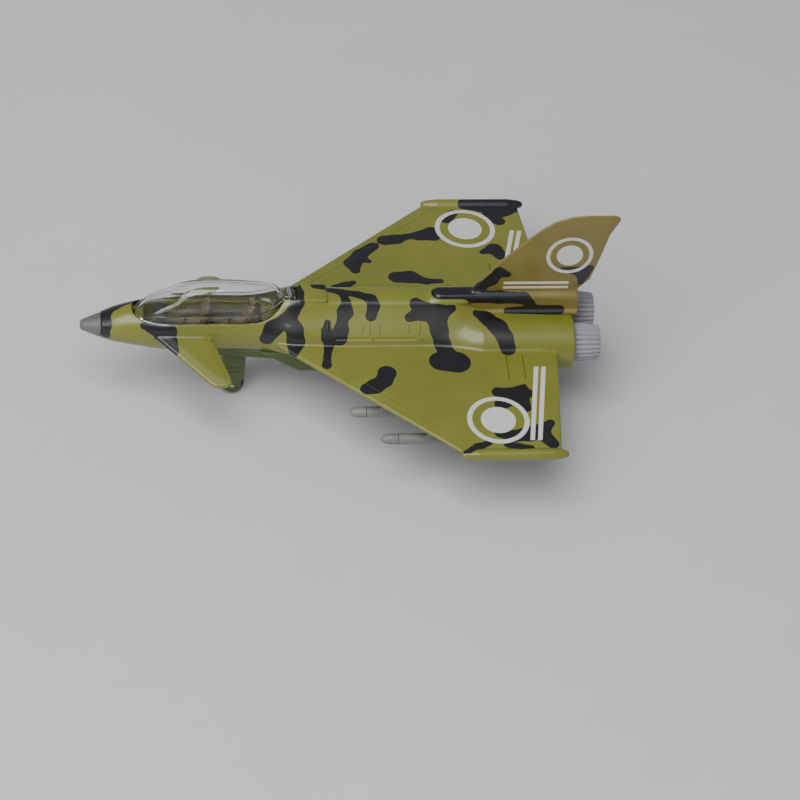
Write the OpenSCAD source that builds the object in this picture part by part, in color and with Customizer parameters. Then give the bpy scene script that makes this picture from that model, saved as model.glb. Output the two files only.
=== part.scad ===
// Toy jet fighter: die-cast delta with canards, twin nozzles, hinged canopy and free wheels.
// +X is forward, +Y is the port side, +Z is up.  The wheels stand on z = 0.

/* [Overall] */
// Length from the nose tip to the lips of the nozzles
body_l = 190; // [160:1:230]
// Width over the wing-tip pods
span = 139; // [115:1:170]
// Height of the fuselage centreline above the ground
axis_h = 33.8; // [31:0.2:44]

/* [Fuselage] */
// Width of the front fuselage beside the cockpit
front_w = 18.6; // [17.6:0.2:22]
// Width of the middle fuselage over the intake shoulders
mid_w = 27.4; // [24:0.2:32]
// Height of the spine above the centreline
spine_h = 14.3; // [13:0.1:16]
// Width of the spine hump
spine_w = 12; // [10:0.5:14]
// Depth of the nose-wheel bay under the centreline
bay_depth = 12; // [11:0.2:14]
// Depth of the intake trunk under the centreline
trunk_depth = 16; // [14:0.2:18]
// Height of the flat planed across the bottom of the trunk
trunk_flat = 0.3; // [0.2:0.05:0.6]
// Width of the intake trunk
trunk_w = 22; // [20:0.5:24]
// Depth of the parting line under the centreline
parting = 5.5; // [5:0.1:7]
// Wall of the casting and of the belly
wall = 2.4; // [1.8:0.1:3]

/* [Nose cone] */
// Length of the grey cone
cone_l = 7.4; // [6:0.2:12]
// Diameter of its blunt tip
cone_tip_d = 3.8; // [3:0.1:5]
// Diameter where it meets the casting
cone_d = 8.8; // [8:0.1:10]
// Diameter of its plug
cone_plug_d = 4; // [3:0.1:5]

/* [Wing] */
// Station of the leading edge where it leaves the shoulder, from the nose
wing_le = 72; // [68:1:80]
// Distance of the leading edge at the pod, ahead of the nozzle lips
wing_tip_le = 56; // [50:1:62]
// Distance of the trailing edge at the root, ahead of the nozzle lips
wing_te = 16.5; // [14:0.5:20]
// Distance of the trailing edge at the pod, ahead of the nozzle lips
wing_tip_te = 21; // [18:0.5:26]
// Thickness at the root
wing_t = 3; // [2.4:0.1:4]
// Thickness at the tip
wing_tip_t = 2; // [1.6:0.1:2.6]
// Height of the wing's middle plane at the shoulder, above the centreline
wing_z = -0.4; // [-1:0.1:0.5]
// Droop of the wing
anhedral = 3; // [0:0.5:5]
// Diameter of the wing-tip pods
pod_d = 4.2; // [3.6:0.1:5]
// Length of the wing-tip pods
pod_l = 39; // [34:0.5:44]

/* [Canards] */
// Station of the leading edge at the root, from the nose
canard_le = 26.5; // [25:0.5:30]
// Root chord
canard_chord = 22; // [20:0.5:26]
// Tip chord
canard_tip_chord = 7.4; // [6:0.2:10]
// Sweep distance of the leading edge from root to tip
canard_sweep = 20; // [16:0.5:24]
// Distance of each tip from the middle of the plane
canard_y = 29.6; // [26:0.2:34]
// Drop from root to tip
canard_drop = 5.8; // [3:0.2:8]
// Thickness at the root
canard_t = 2.6; // [2:0.1:3]

/* [Nacelles and nozzles] */
// Diameter of each nacelle
nacelle_d = 19.2; // [18.4:0.1:21]
// Distance between the two nacelle axes
nacelle_pitch = 17.5; // [17:0.1:19]
// Depth of the nacelle axes under the centreline
nacelle_drop = 3.2; // [2.6:0.1:4]
// Distance of the nacelle lips ahead of the nozzle lips
nozzle_l = 10; // [8:0.5:13]
// Diameter of each nozzle where it leaves the nacelle
nozzle_d = 14; // [12:0.2:15]
// Diameter of the spigot that fits the nacelle
spigot_d = 11; // [9:0.2:12]
// Length of the spigot
spigot_l = 6; // [4:0.5:8]
// Number of flutes around each nozzle
flutes = 20; // [12:1:28]

/* [Canopy] */
// Station of the canopy's front end, from the nose
canopy_front = 18.8; // [18:0.2:21]
// Length of the canopy
canopy_l = 54.6; // [50:0.2:58]
// Half width of the skirt at its widest
canopy_half = 7.6; // [7:0.1:8]
// Height of the sill above the centreline
sill = 5; // [4.6:0.1:5.4]
// Height of the skirt
skirt = 3.4; // [2.8:0.1:3.8]
// Top of the bubble above the centreline
bubble = 19.2; // [17.5:0.1:21]
// Wall of the clear moulding
canopy_wall = 1.2; // [0.9:0.1:1.4]
// Diameter of the hinge pin
hinge_d = 1.6; // [1.2:0.1:1.8]
// Diameter of the hinge lug
lug_d = 4; // [3.6:0.1:4.4]
// Width of the hinge lug
lug_w = 5; // [4:0.2:6]

/* [Fin] */
// Height of the fin's top above the centreline
fin_h = 50.8; // [40:0.5:60]
// Distance of the fin's rear tip behind the nozzle lips
fin_over = 3.6; // [2:0.1:6]
// Chord at the top
fin_tip_chord = 20; // [15:0.5:24]
// Distance of the leading edge at the pod, ahead of the nozzle lips
fin_le = 48; // [42:0.5:54]
// Distance of the trailing edge at the pod, ahead of the nozzle lips
fin_te = 8.6; // [8:0.2:12]
// Thickness of the blade
fin_t = 2.4; // [1.8:0.1:3]
// Length of the root pod
root_l = 54; // [50:0.5:58]
// Width of the root pod
root_w = 6; // [5:0.2:7]

/* [Missiles] */
// Diameter of each missile
missile_d = 4; // [3.6:0.1:5]
// Length of each missile
missile_l = 38; // [32:0.5:42]
// Gap between the wing and the missile, bridged by its rail
rail_h = 5.7; // [3:0.1:7]

/* [Landing gear] */
// Diameter of the nose wheel
nose_wheel_d = 9; // [7.5:0.1:10]
// Width of the nose wheel
nose_wheel_w = 3; // [2.4:0.1:3.4]
// Station of the nose wheel, from the nose
nose_wheel_s = 57.2; // [55:0.2:60]
// Diameter of the main wheels
main_wheel_d = 11; // [9:0.1:13]
// Width of the main wheels
main_wheel_w = 4; // [3:0.1:5]
// Distance of the main wheels ahead of the nozzle lips
main_wheel_t = 62; // [56:0.5:70]
// Distance between the main legs
main_track = 17.6; // [16:0.2:18.4]
// Diameter of the axles
axle_d = 1.6; // [1.2:0.1:2]

/* [Fits] */
// Radial clearance of what turns
run_gap = 0.05; // [0.02:0.01:0.1]
// Clearance of what is plugged in
fit_gap = 0.1; // [0.05:0.01:0.2]
// Clearance around what moves past something
move_gap = 0.4; // [0.3:0.05:0.6]

/* [Hidden] */
$fn = 48;
ring_n = 28;
olive = [0.50, 0.50, 0.20];
dark_olive = [0.25, 0.30, 0.12];
fin_olive = [0.47, 0.42, 0.18];
pale_grey = [0.62, 0.62, 0.64];
steel = [0.72, 0.72, 0.74];
black = [0.06, 0.06, 0.06];
big = 400;
nose_x = (body_l + fin_over) / 2;
belly_front = 44;
belly_rear = 42;
well_rear = 66;
well_half = 5.4;
floor_z = -1.6;
seat_w = 5.2;
saddle_z = 5.5;
saddle_w = 12;
hinge_s = canopy_front + canopy_l + 2.4;
hinge_z = spine_h - lug_d / 2 + 0.2;
pod_y = span / 2 - pod_d / 2;
wing_y = mid_w / 2;
wing_drop = (pod_y - wing_y) * tan(anhedral);
nozzle_r = nozzle_d / 2;
nacelle_y = nacelle_pitch / 2;
missile_y = [37, 50.5];
missile_lead = [3.4, 8.8];
front_screw_s = 92;
screw_d = 2;
screw_head_d = 4;
screw_head_h = 1.4;
screw_l = 11;
belly_floor = bay_depth - wall;
screw_seat = belly_floor + 2;
boss_d = 6;
// height of the hollow's roof under the spine, where the bosses end
roof_z = spine_h - wall - 2;
main_leg_y = main_track / 2;
main_leg_t = 3;
main_leg_l = 7;
nose_leg_l = 8.4;
nose_leg_w = nose_wheel_w + 3.4;

// x of a station counted back from the nose, and x of a distance ahead of the nozzle lips
function from_nose(s) = nose_x - s;
function from_tail(t) = nose_x - body_l + t;

// Points of a rounded section: half width w, top and bottom, and how square it is
function section(w, top, bottom, n) =
    [for (i = [0:ring_n - 1])
        let (a = 360 * (i + 0.5) / ring_n)
        [-w * sign(cos(a)) * pow(abs(cos(a)), 2 / n),
         (top + bottom) / 2 + (top - bottom) / 2 * sign(sin(a)) * pow(abs(sin(a)), 2 / n)]];

// Solid through rings of points [x, y, z]; each ring runs clockwise seen from the last one
module skin(rings) {
    n = len(rings[0]);
    m = len(rings);
    sides = [for (k = [0:m - 2]) for (i = [0:n - 1]) for (half = [0, 1])
        let (a = k * n + i, b = k * n + (i + 1) % n)
        half == 0 ? [a, b, b + n] : [a, b + n, a + n]];
    polyhedron(
        points = [for (r = rings) for (p = r) p],
        faces = concat([[for (i = [n - 1:-1:0]) i]], sides, [[for (i = [0:n - 1]) (m - 1) * n + i]]));
}

// Solid along X from stations [x, half width, top, bottom, squareness], tail first
module loft(stations) {
    skin([for (q = stations)
        [for (p = section(q[1], q[2], q[3], q[4])) [q[0], p[0], p[1]]]]);
}

// Tapered plate between two chords: [front x, rear x, z, thickness] at y = ya and y = yb
function chord_ring(c, y) =
    let (l = c[0] - c[1], z = c[2], h = c[3] / 2)
    [[c[0], y, z - 0.25 * h], [c[0], y, z + 0.25 * h], [c[0] - 0.06 * l, y, z + 0.75 * h],
     [c[0] - 0.2 * l, y, z + h], [c[1] + 0.25 * l, y, z + h], [c[1], y, z + 0.45 * h],
     [c[1], y, z - 0.45 * h], [c[1] + 0.25 * l, y, z - h], [c[0] - 0.2 * l, y, z - h],
     [c[0] - 0.06 * l, y, z - 0.75 * h]];
module plate(root, ya, tip, yb) {
    skin([chord_ring(root, ya), chord_ring(tip, yb)]);
}

module both_sides() {
    children();
    mirror([0, 1, 0]) children();
}

module along_x(x, y, z) {
    translate([x, y, z]) rotate([0, 90, 0]) children();
}

module across_y(x, y, z, l, d) {
    translate([x, y, z]) rotate([90, 0, 0]) cylinder(d = d, h = l, center = true);
}

// ---- shapes that the casting and the belly share ----
module core_form() {
    loft([
        [from_tail(nozzle_l), mid_w / 2 - 2, saddle_z, -10, 2.6],
        [from_tail(30), mid_w / 2, saddle_z + 0.4, -10.5, 2.6],
        [from_tail(58), mid_w / 2, 8.6, -9.6, 2.6],
        [from_nose(86), mid_w / 2, 9, -9.6, 2.6],
        [from_nose(78), mid_w / 2 - 0.8, 9.4, -9.6, 2.5],
        [from_nose(70), front_w / 2 + 1.6, 9.6, -9.6, 2.4],
        [from_nose(60), front_w / 2 + 0.2, 9.5, -9.4, 2.4],
        [from_nose(40), front_w / 2, 9.2, -9.2, 2.3],
        [from_nose(26), front_w / 2 - 0.6, 8.6, -8.7, 2.1],
        [from_nose(18.3), 7.6, 7.6, -7.8, 2],
        [from_nose(11.4), 6.2, 5.9, -6.5, 2],
        [from_nose(cone_l), cone_d / 2, cone_d / 2 - 0.7, -cone_d / 2 - 0.7, 2]]);
}

module spine_form() {
    loft([
        [from_tail(root_l + nozzle_l - 6), spine_w / 2, 13.4, 0, 2],
        [from_nose(100), spine_w / 2, 13.2, 0, 2],
        [from_nose(86), spine_w / 2, spine_h - 0.4, 0, 2],
        [from_nose(hinge_s - 1.2), spine_w / 2, spine_h, 0, 2.2]]);
}

module nacelle_form() {
    both_sides() along_x(from_tail(nozzle_l), nacelle_y, -nacelle_drop)
        cylinder(d = nacelle_d, h = 34);
    both_sides() along_x(from_tail(nozzle_l + 34), nacelle_y, -nacelle_drop)
        cylinder(d1 = nacelle_d, d2 = nacelle_d - 7, h = 18);
}

module keel_form() {
    loft([
        [from_tail(belly_rear), mid_w / 2 - 1, -parting + 1, -11.6, 3],
        [from_tail(58), trunk_w / 2, -parting + 1, -trunk_depth, 3.4],
        [from_nose(80), trunk_w / 2, -parting + 1, -trunk_depth, 3.4],
        [from_nose(70), trunk_w / 2 - 1.4, -parting + 1, -bay_depth - 0.6, 3],
        [from_nose(66), front_w / 2 - 1.8, -parting + 1, -bay_depth, 3],
        [from_nose(52), front_w / 2 - 2.6, -parting + 1, -bay_depth, 3],
        [from_nose(belly_front), front_w / 2 - 4, -parting + 1, -8.8, 2.4]]);
}

module belly_zone() {
    translate([from_tail(belly_rear), -big / 2, -big - parting])
        cube([from_nose(belly_front) - from_tail(belly_rear), big, big]);
}

// The canopy along its length, as [distance from its front end, half width, top]
function canopy_rings() = [[0, 3.4, sill + 2.6], [1.2, 5, sill + 3.2], [4.6, 6.4, sill + 4.4],
    [12, canopy_half - 0.4, bubble - 5.4], [22, canopy_half, bubble - 0.2],
    [32, canopy_half, bubble], [canopy_l - 14, canopy_half, bubble - 0.9],
    [canopy_l - 7, canopy_half - 0.9, bubble - 2], [canopy_l - 2.2, canopy_half - 2.6, bubble - 3.4],
    [canopy_l, canopy_half - 4.4, bubble - 5]];

// Outline of the opening that the canopy closes
module canopy_outline(grow) {
    near = [for (q = canopy_rings()) [from_nose(canopy_front + q[0]), q[1] + grow]];
    last = len(near) - 1;
    front = [near[0][0] + grow, near[0][1]];
    rear = [near[last][0] - grow, near[last][1]];
    half = concat([front], near, [rear]);
    polygon(concat(half, [for (i = [len(half) - 1:-1:0]) [half[i][0], -half[i][1]]]));
}

module wing_plate() {
    plate([from_nose(wing_le - 4), from_tail(wing_te), wing_z, wing_t], wing_y - 7,
        [from_tail(wing_tip_le), from_tail(wing_tip_te), wing_z - wing_drop, wing_tip_t], pod_y);
}

module wing_tip_pod() {
    along_x(from_tail(wing_tip_le) + 1.5 - pod_l, pod_y, wing_z - wing_drop)
        rotate_extrude()
            polygon([[0, 0], [pod_d * 0.24, 0], [pod_d * 0.42, 1.4], [pod_d / 2, 4],
                [pod_d / 2, pod_l - 5], [pod_d * 0.4, pod_l - 2], [pod_d * 0.2, pod_l], [0, pod_l]]);
}

module canard_plate() {
    plate([from_nose(canard_le - 3), from_nose(canard_le + canard_chord), 0, canard_t], front_w / 2 - 3,
        [from_nose(canard_le + canard_sweep), from_nose(canard_le + canard_sweep + canard_tip_chord),
            -canard_drop, canard_t * 0.7], canard_y);
}

// ---- upper body casting ----
module cockpit_well() {
    translate([0, 0, floor_z - 2.4]) linear_extrude(20)
        polygon([[from_nose(well_rear), -well_half], [from_nose(26), -well_half], [from_nose(23), 1.4 - well_half],
            [from_nose(23), well_half - 1.4], [from_nose(26), well_half], [from_nose(well_rear), well_half]]);
}

module body_hollow() {
    hollow_l = from_nose(84) - from_tail(belly_rear + 4);
    translate([from_tail(belly_rear + 4), -mid_w / 2 + wall, -big - 1.2])
        cube([hollow_l, mid_w - 2 * wall, big + 4]);
    translate([from_tail(belly_rear + 4), -mid_w / 3, 0]) cube([hollow_l, mid_w / 1.5, 8.6 - wall]);
    translate([from_tail(root_l + 2), -spine_w / 4, 0])
        cube([from_nose(84) - from_tail(root_l + 2), spine_w / 2, roof_z]);
    // nacelles, bored out ahead of the nozzle spigots
    both_sides() along_x(from_tail(nozzle_l + spigot_l) - 0.1, nacelle_y, -nacelle_drop)
        cylinder(r = nacelle_y - 2.6, h = 28);
}

// the rear screw and its boss stand just ahead of the fin's root pod
module screw_places() {
    rear_screw_t = fin_te - 0.4 + root_l + boss_d / 2 + 0.8;
    for (x = [from_nose(front_screw_s), from_tail(rear_screw_t)]) translate([x, 0, 0]) children();
}

module fin_seat() {
    translate([from_tail(nozzle_l), -saddle_w / 2, -2])
        cube([root_l - 2, saddle_w, saddle_z + 2]);
}

module upper_body() {
    color(olive) translate([0, 0, axis_h]) {
        difference() {
            union() {
                core_form();
                spine_form();
                nacelle_form();
                fin_seat();
                both_sides() wing_plate();
                both_sides() wing_tip_pod();
                both_sides() canard_plate();
            }
            belly_zone();
            body_hollow();
            cockpit_well();
            translate([0, 0, sill]) linear_extrude(big) canopy_outline(move_gap);
            // slot for the hinge lug
            translate([from_nose(hinge_s) - lug_d / 2 - move_gap, -lug_w / 2 - move_gap, sill])
                cube([lug_d * 2, lug_w + 2 * move_gap, big]);
            across_y(from_nose(hinge_s), 0, hinge_z, big / 10, hinge_d);
            // seat of the fin's root pod
            translate([0, 0, saddle_z]) linear_extrude(big) root_outline(fit_gap);
            for (t = fin_pegs()) translate([from_tail(t), 0, 0])
                cylinder(r = peg_r + fit_gap, h = saddle_z + 1);
            // nozzle bores
            both_sides() along_x(from_tail(nozzle_l) - 1, nacelle_y, -nacelle_drop)
                cylinder(d = spigot_d + 2 * fit_gap, h = spigot_l + 2);
            // bore of the nose cone's plug
            along_x(from_nose(cone_l) - 5, 0, -0.7) cylinder(d = cone_plug_d + 2 * fit_gap, h = 10);
            // peg holes of the missile rails
            for (i = [0, 1]) both_sides() translate([rail_x(i), missile_y[i], -10])
                cylinder(r = rail_peg_r + fit_gap, h = 10 + wing_under(i) + 1.2);
        }
        // screw bosses
        screw_places() difference() {
            translate([0, 0, -belly_floor]) cylinder(d = boss_d, h = belly_floor + roof_z + 1);
            translate([0, 0, -belly_floor - 1]) cylinder(d = screw_d + 2 * fit_gap, h = screw_l);
        }
    }
}

// ---- belly ----
module belly() {
    color(dark_olive) translate([0, 0, axis_h]) difference() {
        intersection() {
            union() {
                core_form();
                nacelle_form();
                keel_form();
            }
            belly_zone();
        }
        // hollow above the floor
        translate([from_tail(belly_rear + 4), -trunk_w / 2 + wall, -belly_floor])
            cube([from_nose(82) - from_tail(belly_rear + 4), trunk_w - 2 * wall, big]);
        // flat under the trunk
        translate([-big / 2, -big / 2, -big - trunk_depth + trunk_flat]) cube(big);
        // mouths of the intake
        both_sides() translate([from_nose(76.6), trunk_w / 4 + 0.3, -trunk_depth + 3.4])
            rotate([0, 35, 0]) translate([-2, -trunk_w / 4 + 1.4, -1.6])
                cube([16, trunk_w / 2 - 3.2, 3.2]);
        leg_sockets();
        screw_places() {
            translate([0, 0, -big / 2]) cylinder(d = screw_d + 2 * move_gap, h = big);
            translate([0, 0, -big - screw_seat]) cylinder(d = screw_head_d + 2 * move_gap, h = big);
        }
    }
}

module leg_sockets() {
    translate([from_nose(nose_wheel_s) - 2.5 - fit_gap, -2 - fit_gap, -big - parting - 2])
        cube([5 + 2 * fit_gap, 4 + 2 * fit_gap, big]);
    both_sides() translate([from_tail(main_wheel_t) - 2.5 - fit_gap,
        main_leg_y - main_leg_t / 2 - fit_gap, -big - bay_depth + 1.6])
        cube([5 + 2 * fit_gap, main_leg_t + 2 * fit_gap, big]);
}

// ---- nose cone ----
module nose_cone() {
    tip_r = cone_tip_d / 2;
    color("dimgray") along_x(from_nose(cone_l), 0, axis_h - 0.7) union() {
        rotate_extrude() polygon([[0, 0], [cone_d / 2, 0], [cone_d / 2 - 1.2, cone_l * 0.5],
            [tip_r, cone_l - 0.5], [tip_r * 0.7, cone_l], [0, cone_l]]);
        translate([0, 0, -4]) cylinder(d = cone_plug_d, h = 5);
    }
}

// ---- canopy and its pin ----
// Ring of the clear moulding: skirt, ledge and dome over half width w
function dome_ring(w, top, ledge_z, foot_z) =
    let (ledge = 0.7, n = 10)
    concat([[w, foot_z], [w, ledge_z]],
        [for (i = [0:n]) let (a = 180 * i / n)
            [(w - ledge) * cos(a), ledge_z + 0.2 + (top - ledge_z - 0.2) * sin(a)]],
        [[-w, ledge_z], [-w, foot_z]]);

// Rings of the outer or inner surface, rear end first
function canopy_surface(inset) =
    let (rings = canopy_rings(), shrink = (canopy_l - 2 * inset) / canopy_l)
    [for (i = [len(rings) - 1:-1:0])
        let (q = rings[i],
            x = from_nose(canopy_front + inset + q[0] * shrink),
            ledge_z = sill + min(skirt, q[2] - sill - 0.8) - inset)
        for (p = dome_ring(q[1] - inset, q[2] - inset, ledge_z, sill + fit_gap)) [x, -p[0], p[1]]];

// Outer and inner surface joined round the foot of the skirt
module canopy_shell() {
    n = len(dome_ring(1, 1, 0, 0));
    m = len(canopy_rings());
    all = n * m;
    end = all - n;
    sides = [for (k = [0:m - 2]) for (j = [0:n - 2])
        let (a = k * n + j, b = a + 1)
        each [[a, b, b + n], [a, b + n, a + n],
            [all + a, all + b + n, all + b], [all + a, all + a + n, all + b + n]]];
    feet = [for (k = [0:m - 2])
        let (a = k * n + n - 1, b = k * n)
        each [[a, all + a, all + a + n], [a, all + a + n, a + n],
            [all + b, b, b + n], [all + b, b + n, all + b + n]]];
    caps = [[for (i = [n - 1:-1:0]) i], [for (i = [0:n - 1]) all + i],
        [for (i = [0:n - 1]) end + i], [for (i = [n - 1:-1:0]) all + end + i],
        [n - 1, 0, all, all + n - 1], [end, end + n - 1, all + end + n - 1, all + end]];
    polyhedron(points = concat(canopy_surface(0), canopy_surface(canopy_wall)),
        faces = concat(sides, feet, caps));
}

module canopy() {
    color("lightcyan", 0.4) translate([0, 0, axis_h]) difference() {
        union() {
            canopy_shell();
            across_y(from_nose(hinge_s), 0, hinge_z, lug_w, lug_d);
            translate([from_nose(hinge_s), -lug_w / 2, hinge_z - lug_d / 2])
                cube([hinge_s - canopy_front - canopy_l + 0.6, lug_w, lug_d]);
        }
        across_y(from_nose(hinge_s), 0, hinge_z, big / 10, hinge_d + 2 * run_gap);
    }
}

module canopy_pin() {
    color(steel) across_y(from_nose(hinge_s), 0, axis_h + hinge_z, spine_w - 3, hinge_d);
}

// ---- cockpit ----
// Seat with its back leaning aft, standing on the floor at station s
module seat(s) {
    translate([from_nose(s), seat_w / 2, floor_z - 0.4]) rotate([90, 0, 0]) linear_extrude(seat_w)
        polygon([[-0.4, 0], [5.2, 0], [5.4, 3.2], [2, 3.6], [0.2, 10.4], [-0.2, 12.8], [-1.8, 12.6],
            [-1.6, 10.2], [-0.4, 3]]);
}

// Panel with a rounded hood across the cockpit at station s
module dashboard(s) {
    translate([from_nose(s), 0, floor_z - 0.4]) rotate([0, -90, 0]) linear_extrude(1.6)
        polygon([[0, -4.6], [6.6, -4.6], [8.4, -2.8], [8.4, 2.8], [6.6, 4.6], [0, 4.6]]);
}

module cockpit_insert() {
    color([0.32, 0.26, 0.18]) translate([0, 0, axis_h]) {
        translate([from_nose(well_rear) + fit_gap, -well_half + fit_gap, floor_z - 2.4])
            cube([40 - 2 * fit_gap, 2 * (well_half - fit_gap), 2.4]);
        seat(45);
        seat(61.5);
        dashboard(29.4);
        dashboard(47);
        for (side = [-1, 1]) translate([from_nose(64), side * 4.5 - 0.5, floor_z - 0.4]) cube([33, 1, 4]);
    }
}

// ---- fin ----
peg_r = 1.6;
function fin_pegs() = [18, 46];

module root_outline(grow) {
    nose_r = root_w / 2 + grow;
    rear = from_tail(fin_te - 0.4);
    front = rear + root_l;
    translate([rear - grow, -nose_r]) square([root_l - nose_r + 2 * grow, 2 * nose_r]);
    translate([front - nose_r + grow, 0]) circle(r = nose_r);
}

module fin() {
    top = fin_h;
    pod_top = spine_h + 0.3;
    tip_rear = from_tail(-fin_over);
    color(fin_olive) translate([0, 0, axis_h]) {
        translate([0, 0, saddle_z + fit_gap]) linear_extrude(pod_top - saddle_z - 1.6) root_outline(0);
        translate([0, 0, pod_top - 1.6]) linear_extrude(1.6) root_outline(-0.8);
        translate([0, fin_t / 2, 0]) rotate([90, 0, 0]) linear_extrude(fin_t)
            polygon([[from_tail(fin_te), pod_top - 1], [from_tail(fin_te - 3.4), pod_top + 5],
                [tip_rear + 4.4, fin_h - 9], [tip_rear + 0.6, top - 3.2], [tip_rear, top - 1.2],
                [tip_rear + 0.8, top], [tip_rear + fin_tip_chord - 1, top - 0.2],
                [tip_rear + fin_tip_chord + 4, top - 2.6],
                [from_tail(fin_le - 19), fin_h * 0.79],
                [from_tail(fin_le - 9), fin_h * 0.57], [from_tail(fin_le), pod_top - 1]]);
        for (t = fin_pegs()) translate([from_tail(t), 0, 1.4]) cylinder(r = peg_r, h = saddle_z);
    }
}

// ---- nozzles ----
module nozzle() {
    difference() {
        union() {
            rotate_extrude() polygon([[0, 0], [nozzle_r - 1.2, 0], [nozzle_r - 0.8, 0.3],
                [nozzle_r, nozzle_l * 0.55], [nozzle_r, nozzle_l - fit_gap], [0, nozzle_l - fit_gap]]);
            cylinder(d = spigot_d, h = nozzle_l + spigot_l);
        }
        translate([0, 0, -1]) cylinder(d1 = nozzle_d - 3, d2 = nozzle_d - 5, h = nozzle_l - 1);
        for (i = [0:flutes - 1]) rotate(360 * i / flutes)
            translate([nozzle_r + 0.25, 0, -1]) cylinder(r = 0.6, h = nozzle_l + 0.6, $fn = 16);
    }
}

module nozzle_port() {
    color(pale_grey) along_x(from_tail(0), nacelle_y, axis_h - nacelle_drop) nozzle();
}

module nozzle_starboard() {
    color(pale_grey) along_x(from_tail(0), -nacelle_y, axis_h - nacelle_drop) nozzle();
}

// ---- missiles, each with its rail ----
rail_peg_r = 0.9;
rail_l = 14;
// height of the wing's underside at missile i, and the x of the rail's peg
function wing_under(i) =
    wing_z - (missile_y[i] - wing_y) * tan(anhedral) - 0.5 * wing_t
    + 0.5 * (wing_t - wing_tip_t) * (missile_y[i] - wing_y) / (pod_y - wing_y);
function edge_x(i) =
    from_nose(wing_le) + (from_tail(wing_tip_le) - from_nose(wing_le))
    * (missile_y[i] - wing_y) / (pod_y - wing_y);
function rail_x(i) = edge_x(i) - 15;

module missile(i) {
    nose_at = edge_x(i) + missile_lead[i];
    mid_z = wing_under(i) - rail_h - missile_d / 2;
    r = missile_d / 2;
    translate([0, missile_y[i], 0]) {
        along_x(nose_at - missile_l, 0, mid_z)
            rotate_extrude() polygon([[0, 0], [r * 0.7, 0], [r * 0.8, 1], [r, 1.6],
                [r, missile_l - 5], [r * 0.85, missile_l - 2], [r * 0.5, missile_l - 0.4], [0, missile_l]]);
        // four tail fins
        for (a = [45:90:359]) along_x(nose_at - missile_l + 1, 0, mid_z) rotate(a)
            translate([0, -0.4, 0]) cube([r + 1.6, 0.8, 6]);
        translate([rail_x(i), 0, mid_z]) cylinder(r = rail_peg_r, h = wing_under(i) + 0.8 - mid_z);
    }
    difference() {
        translate([rail_x(i) - rail_l / 2, missile_y[i] - 1.1, mid_z])
            cube([rail_l, 2.2, rail_h + missile_d]);
        wing_plate();
        translate([-big / 2, -big / 2, wing_under(i) + 0.6]) cube(big);
    }
}

module missile_port_inner() { color(pale_grey) translate([0, 0, axis_h]) missile(0); }
module missile_port_outer() { color(pale_grey) translate([0, 0, axis_h]) missile(1); }
module missile_starboard_inner() { color(pale_grey) translate([0, 0, axis_h]) mirror([0, 1, 0]) missile(0); }
module missile_starboard_outer() { color(pale_grey) translate([0, 0, axis_h]) mirror([0, 1, 0]) missile(1); }

// ---- landing gear ----
nose_axle_z = nose_wheel_d / 2;
main_axle_z = main_wheel_d / 2;

module nose_gear_leg() {
    bottom = axis_h - bay_depth - fit_gap;
    fork_h = nose_wheel_d / 2 + move_gap;
    color(dark_olive) translate([from_nose(nose_wheel_s), 0, 0]) difference() {
        union() {
            translate([-nose_leg_l / 2, -nose_leg_w / 2, nose_axle_z])
                cube([nose_leg_l, nose_leg_w, bottom - nose_axle_z]);
            across_y(0, 0, nose_axle_z, nose_leg_w, 4);
            translate([-2.5, -2, bottom - 0.2]) cube([5, 4, bay_depth - parting - 2]);
        }
        translate([-nose_leg_l, -nose_wheel_w / 2 - 0.25, -1])
            cube([2 * nose_leg_l, nose_wheel_w + 0.5, nose_axle_z + fork_h + 1]);
        translate([-nose_leg_l, -nose_leg_w, nose_axle_z - 0.01]) rotate([0, 40, 0])
            cube([nose_leg_l * 0.62, 2 * nose_leg_w, 5], center = false);
        across_y(0, 0, nose_axle_z, 2 * nose_leg_w, axle_d);
    }
}

module nose_axle() {
    color(steel) across_y(from_nose(nose_wheel_s), 0, nose_axle_z, nose_leg_w, axle_d);
}

module wheel(d, w) {
    rotate([90, 0, 0]) rotate_extrude() polygon([[axle_d / 2 + run_gap, -w / 2],
        [d / 2 - 1.2, -w / 2], [d / 2 - 0.3, -w / 2 + 0.5], [d / 2, -w / 2 + 1],
        [d / 2, w / 2 - 1], [d / 2 - 0.3, w / 2 - 0.5], [d / 2 - 1.2, w / 2], [axle_d / 2 + run_gap, w / 2]]);
}

module nose_wheel() {
    color(black) translate([from_nose(nose_wheel_s), 0, nose_axle_z]) wheel(nose_wheel_d, nose_wheel_w);
}

main_wheel_y = main_leg_y + main_leg_t / 2 + 0.3 + main_wheel_w / 2;

module main_leg() {
    bottom = axis_h - trunk_depth;
    color(dark_olive) translate([from_tail(main_wheel_t), main_leg_y, 0]) difference() {
        union() {
            translate([-main_leg_l / 2, -main_leg_t / 2, main_axle_z])
                cube([main_leg_l, main_leg_t, bottom - fit_gap - main_axle_z]);
            across_y(0, 0, main_axle_z, main_leg_t, main_leg_l);
            translate([-2.5, -main_leg_t / 2, bottom - 0.5])
                cube([5, main_leg_t, trunk_depth - bay_depth + 1.5]);
        }
        across_y(0, 0, main_axle_z, 2 * main_leg_t, axle_d);
    }
}

module main_axle() {
    reach = main_leg_t + 0.3 + main_wheel_w + 0.3;
    start = main_leg_y - main_leg_t / 2;
    color(steel) translate([from_tail(main_wheel_t), start, main_axle_z]) rotate([-90, 0, 0]) {
        cylinder(d = axle_d, h = reach + 0.4);
        translate([0, 0, reach]) cylinder(d = axle_d + 1.6, h = 0.8);
    }
}

module main_wheel() {
    color(black) translate([from_tail(main_wheel_t), main_wheel_y, main_axle_z])
        wheel(main_wheel_d, main_wheel_w);
}

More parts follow.
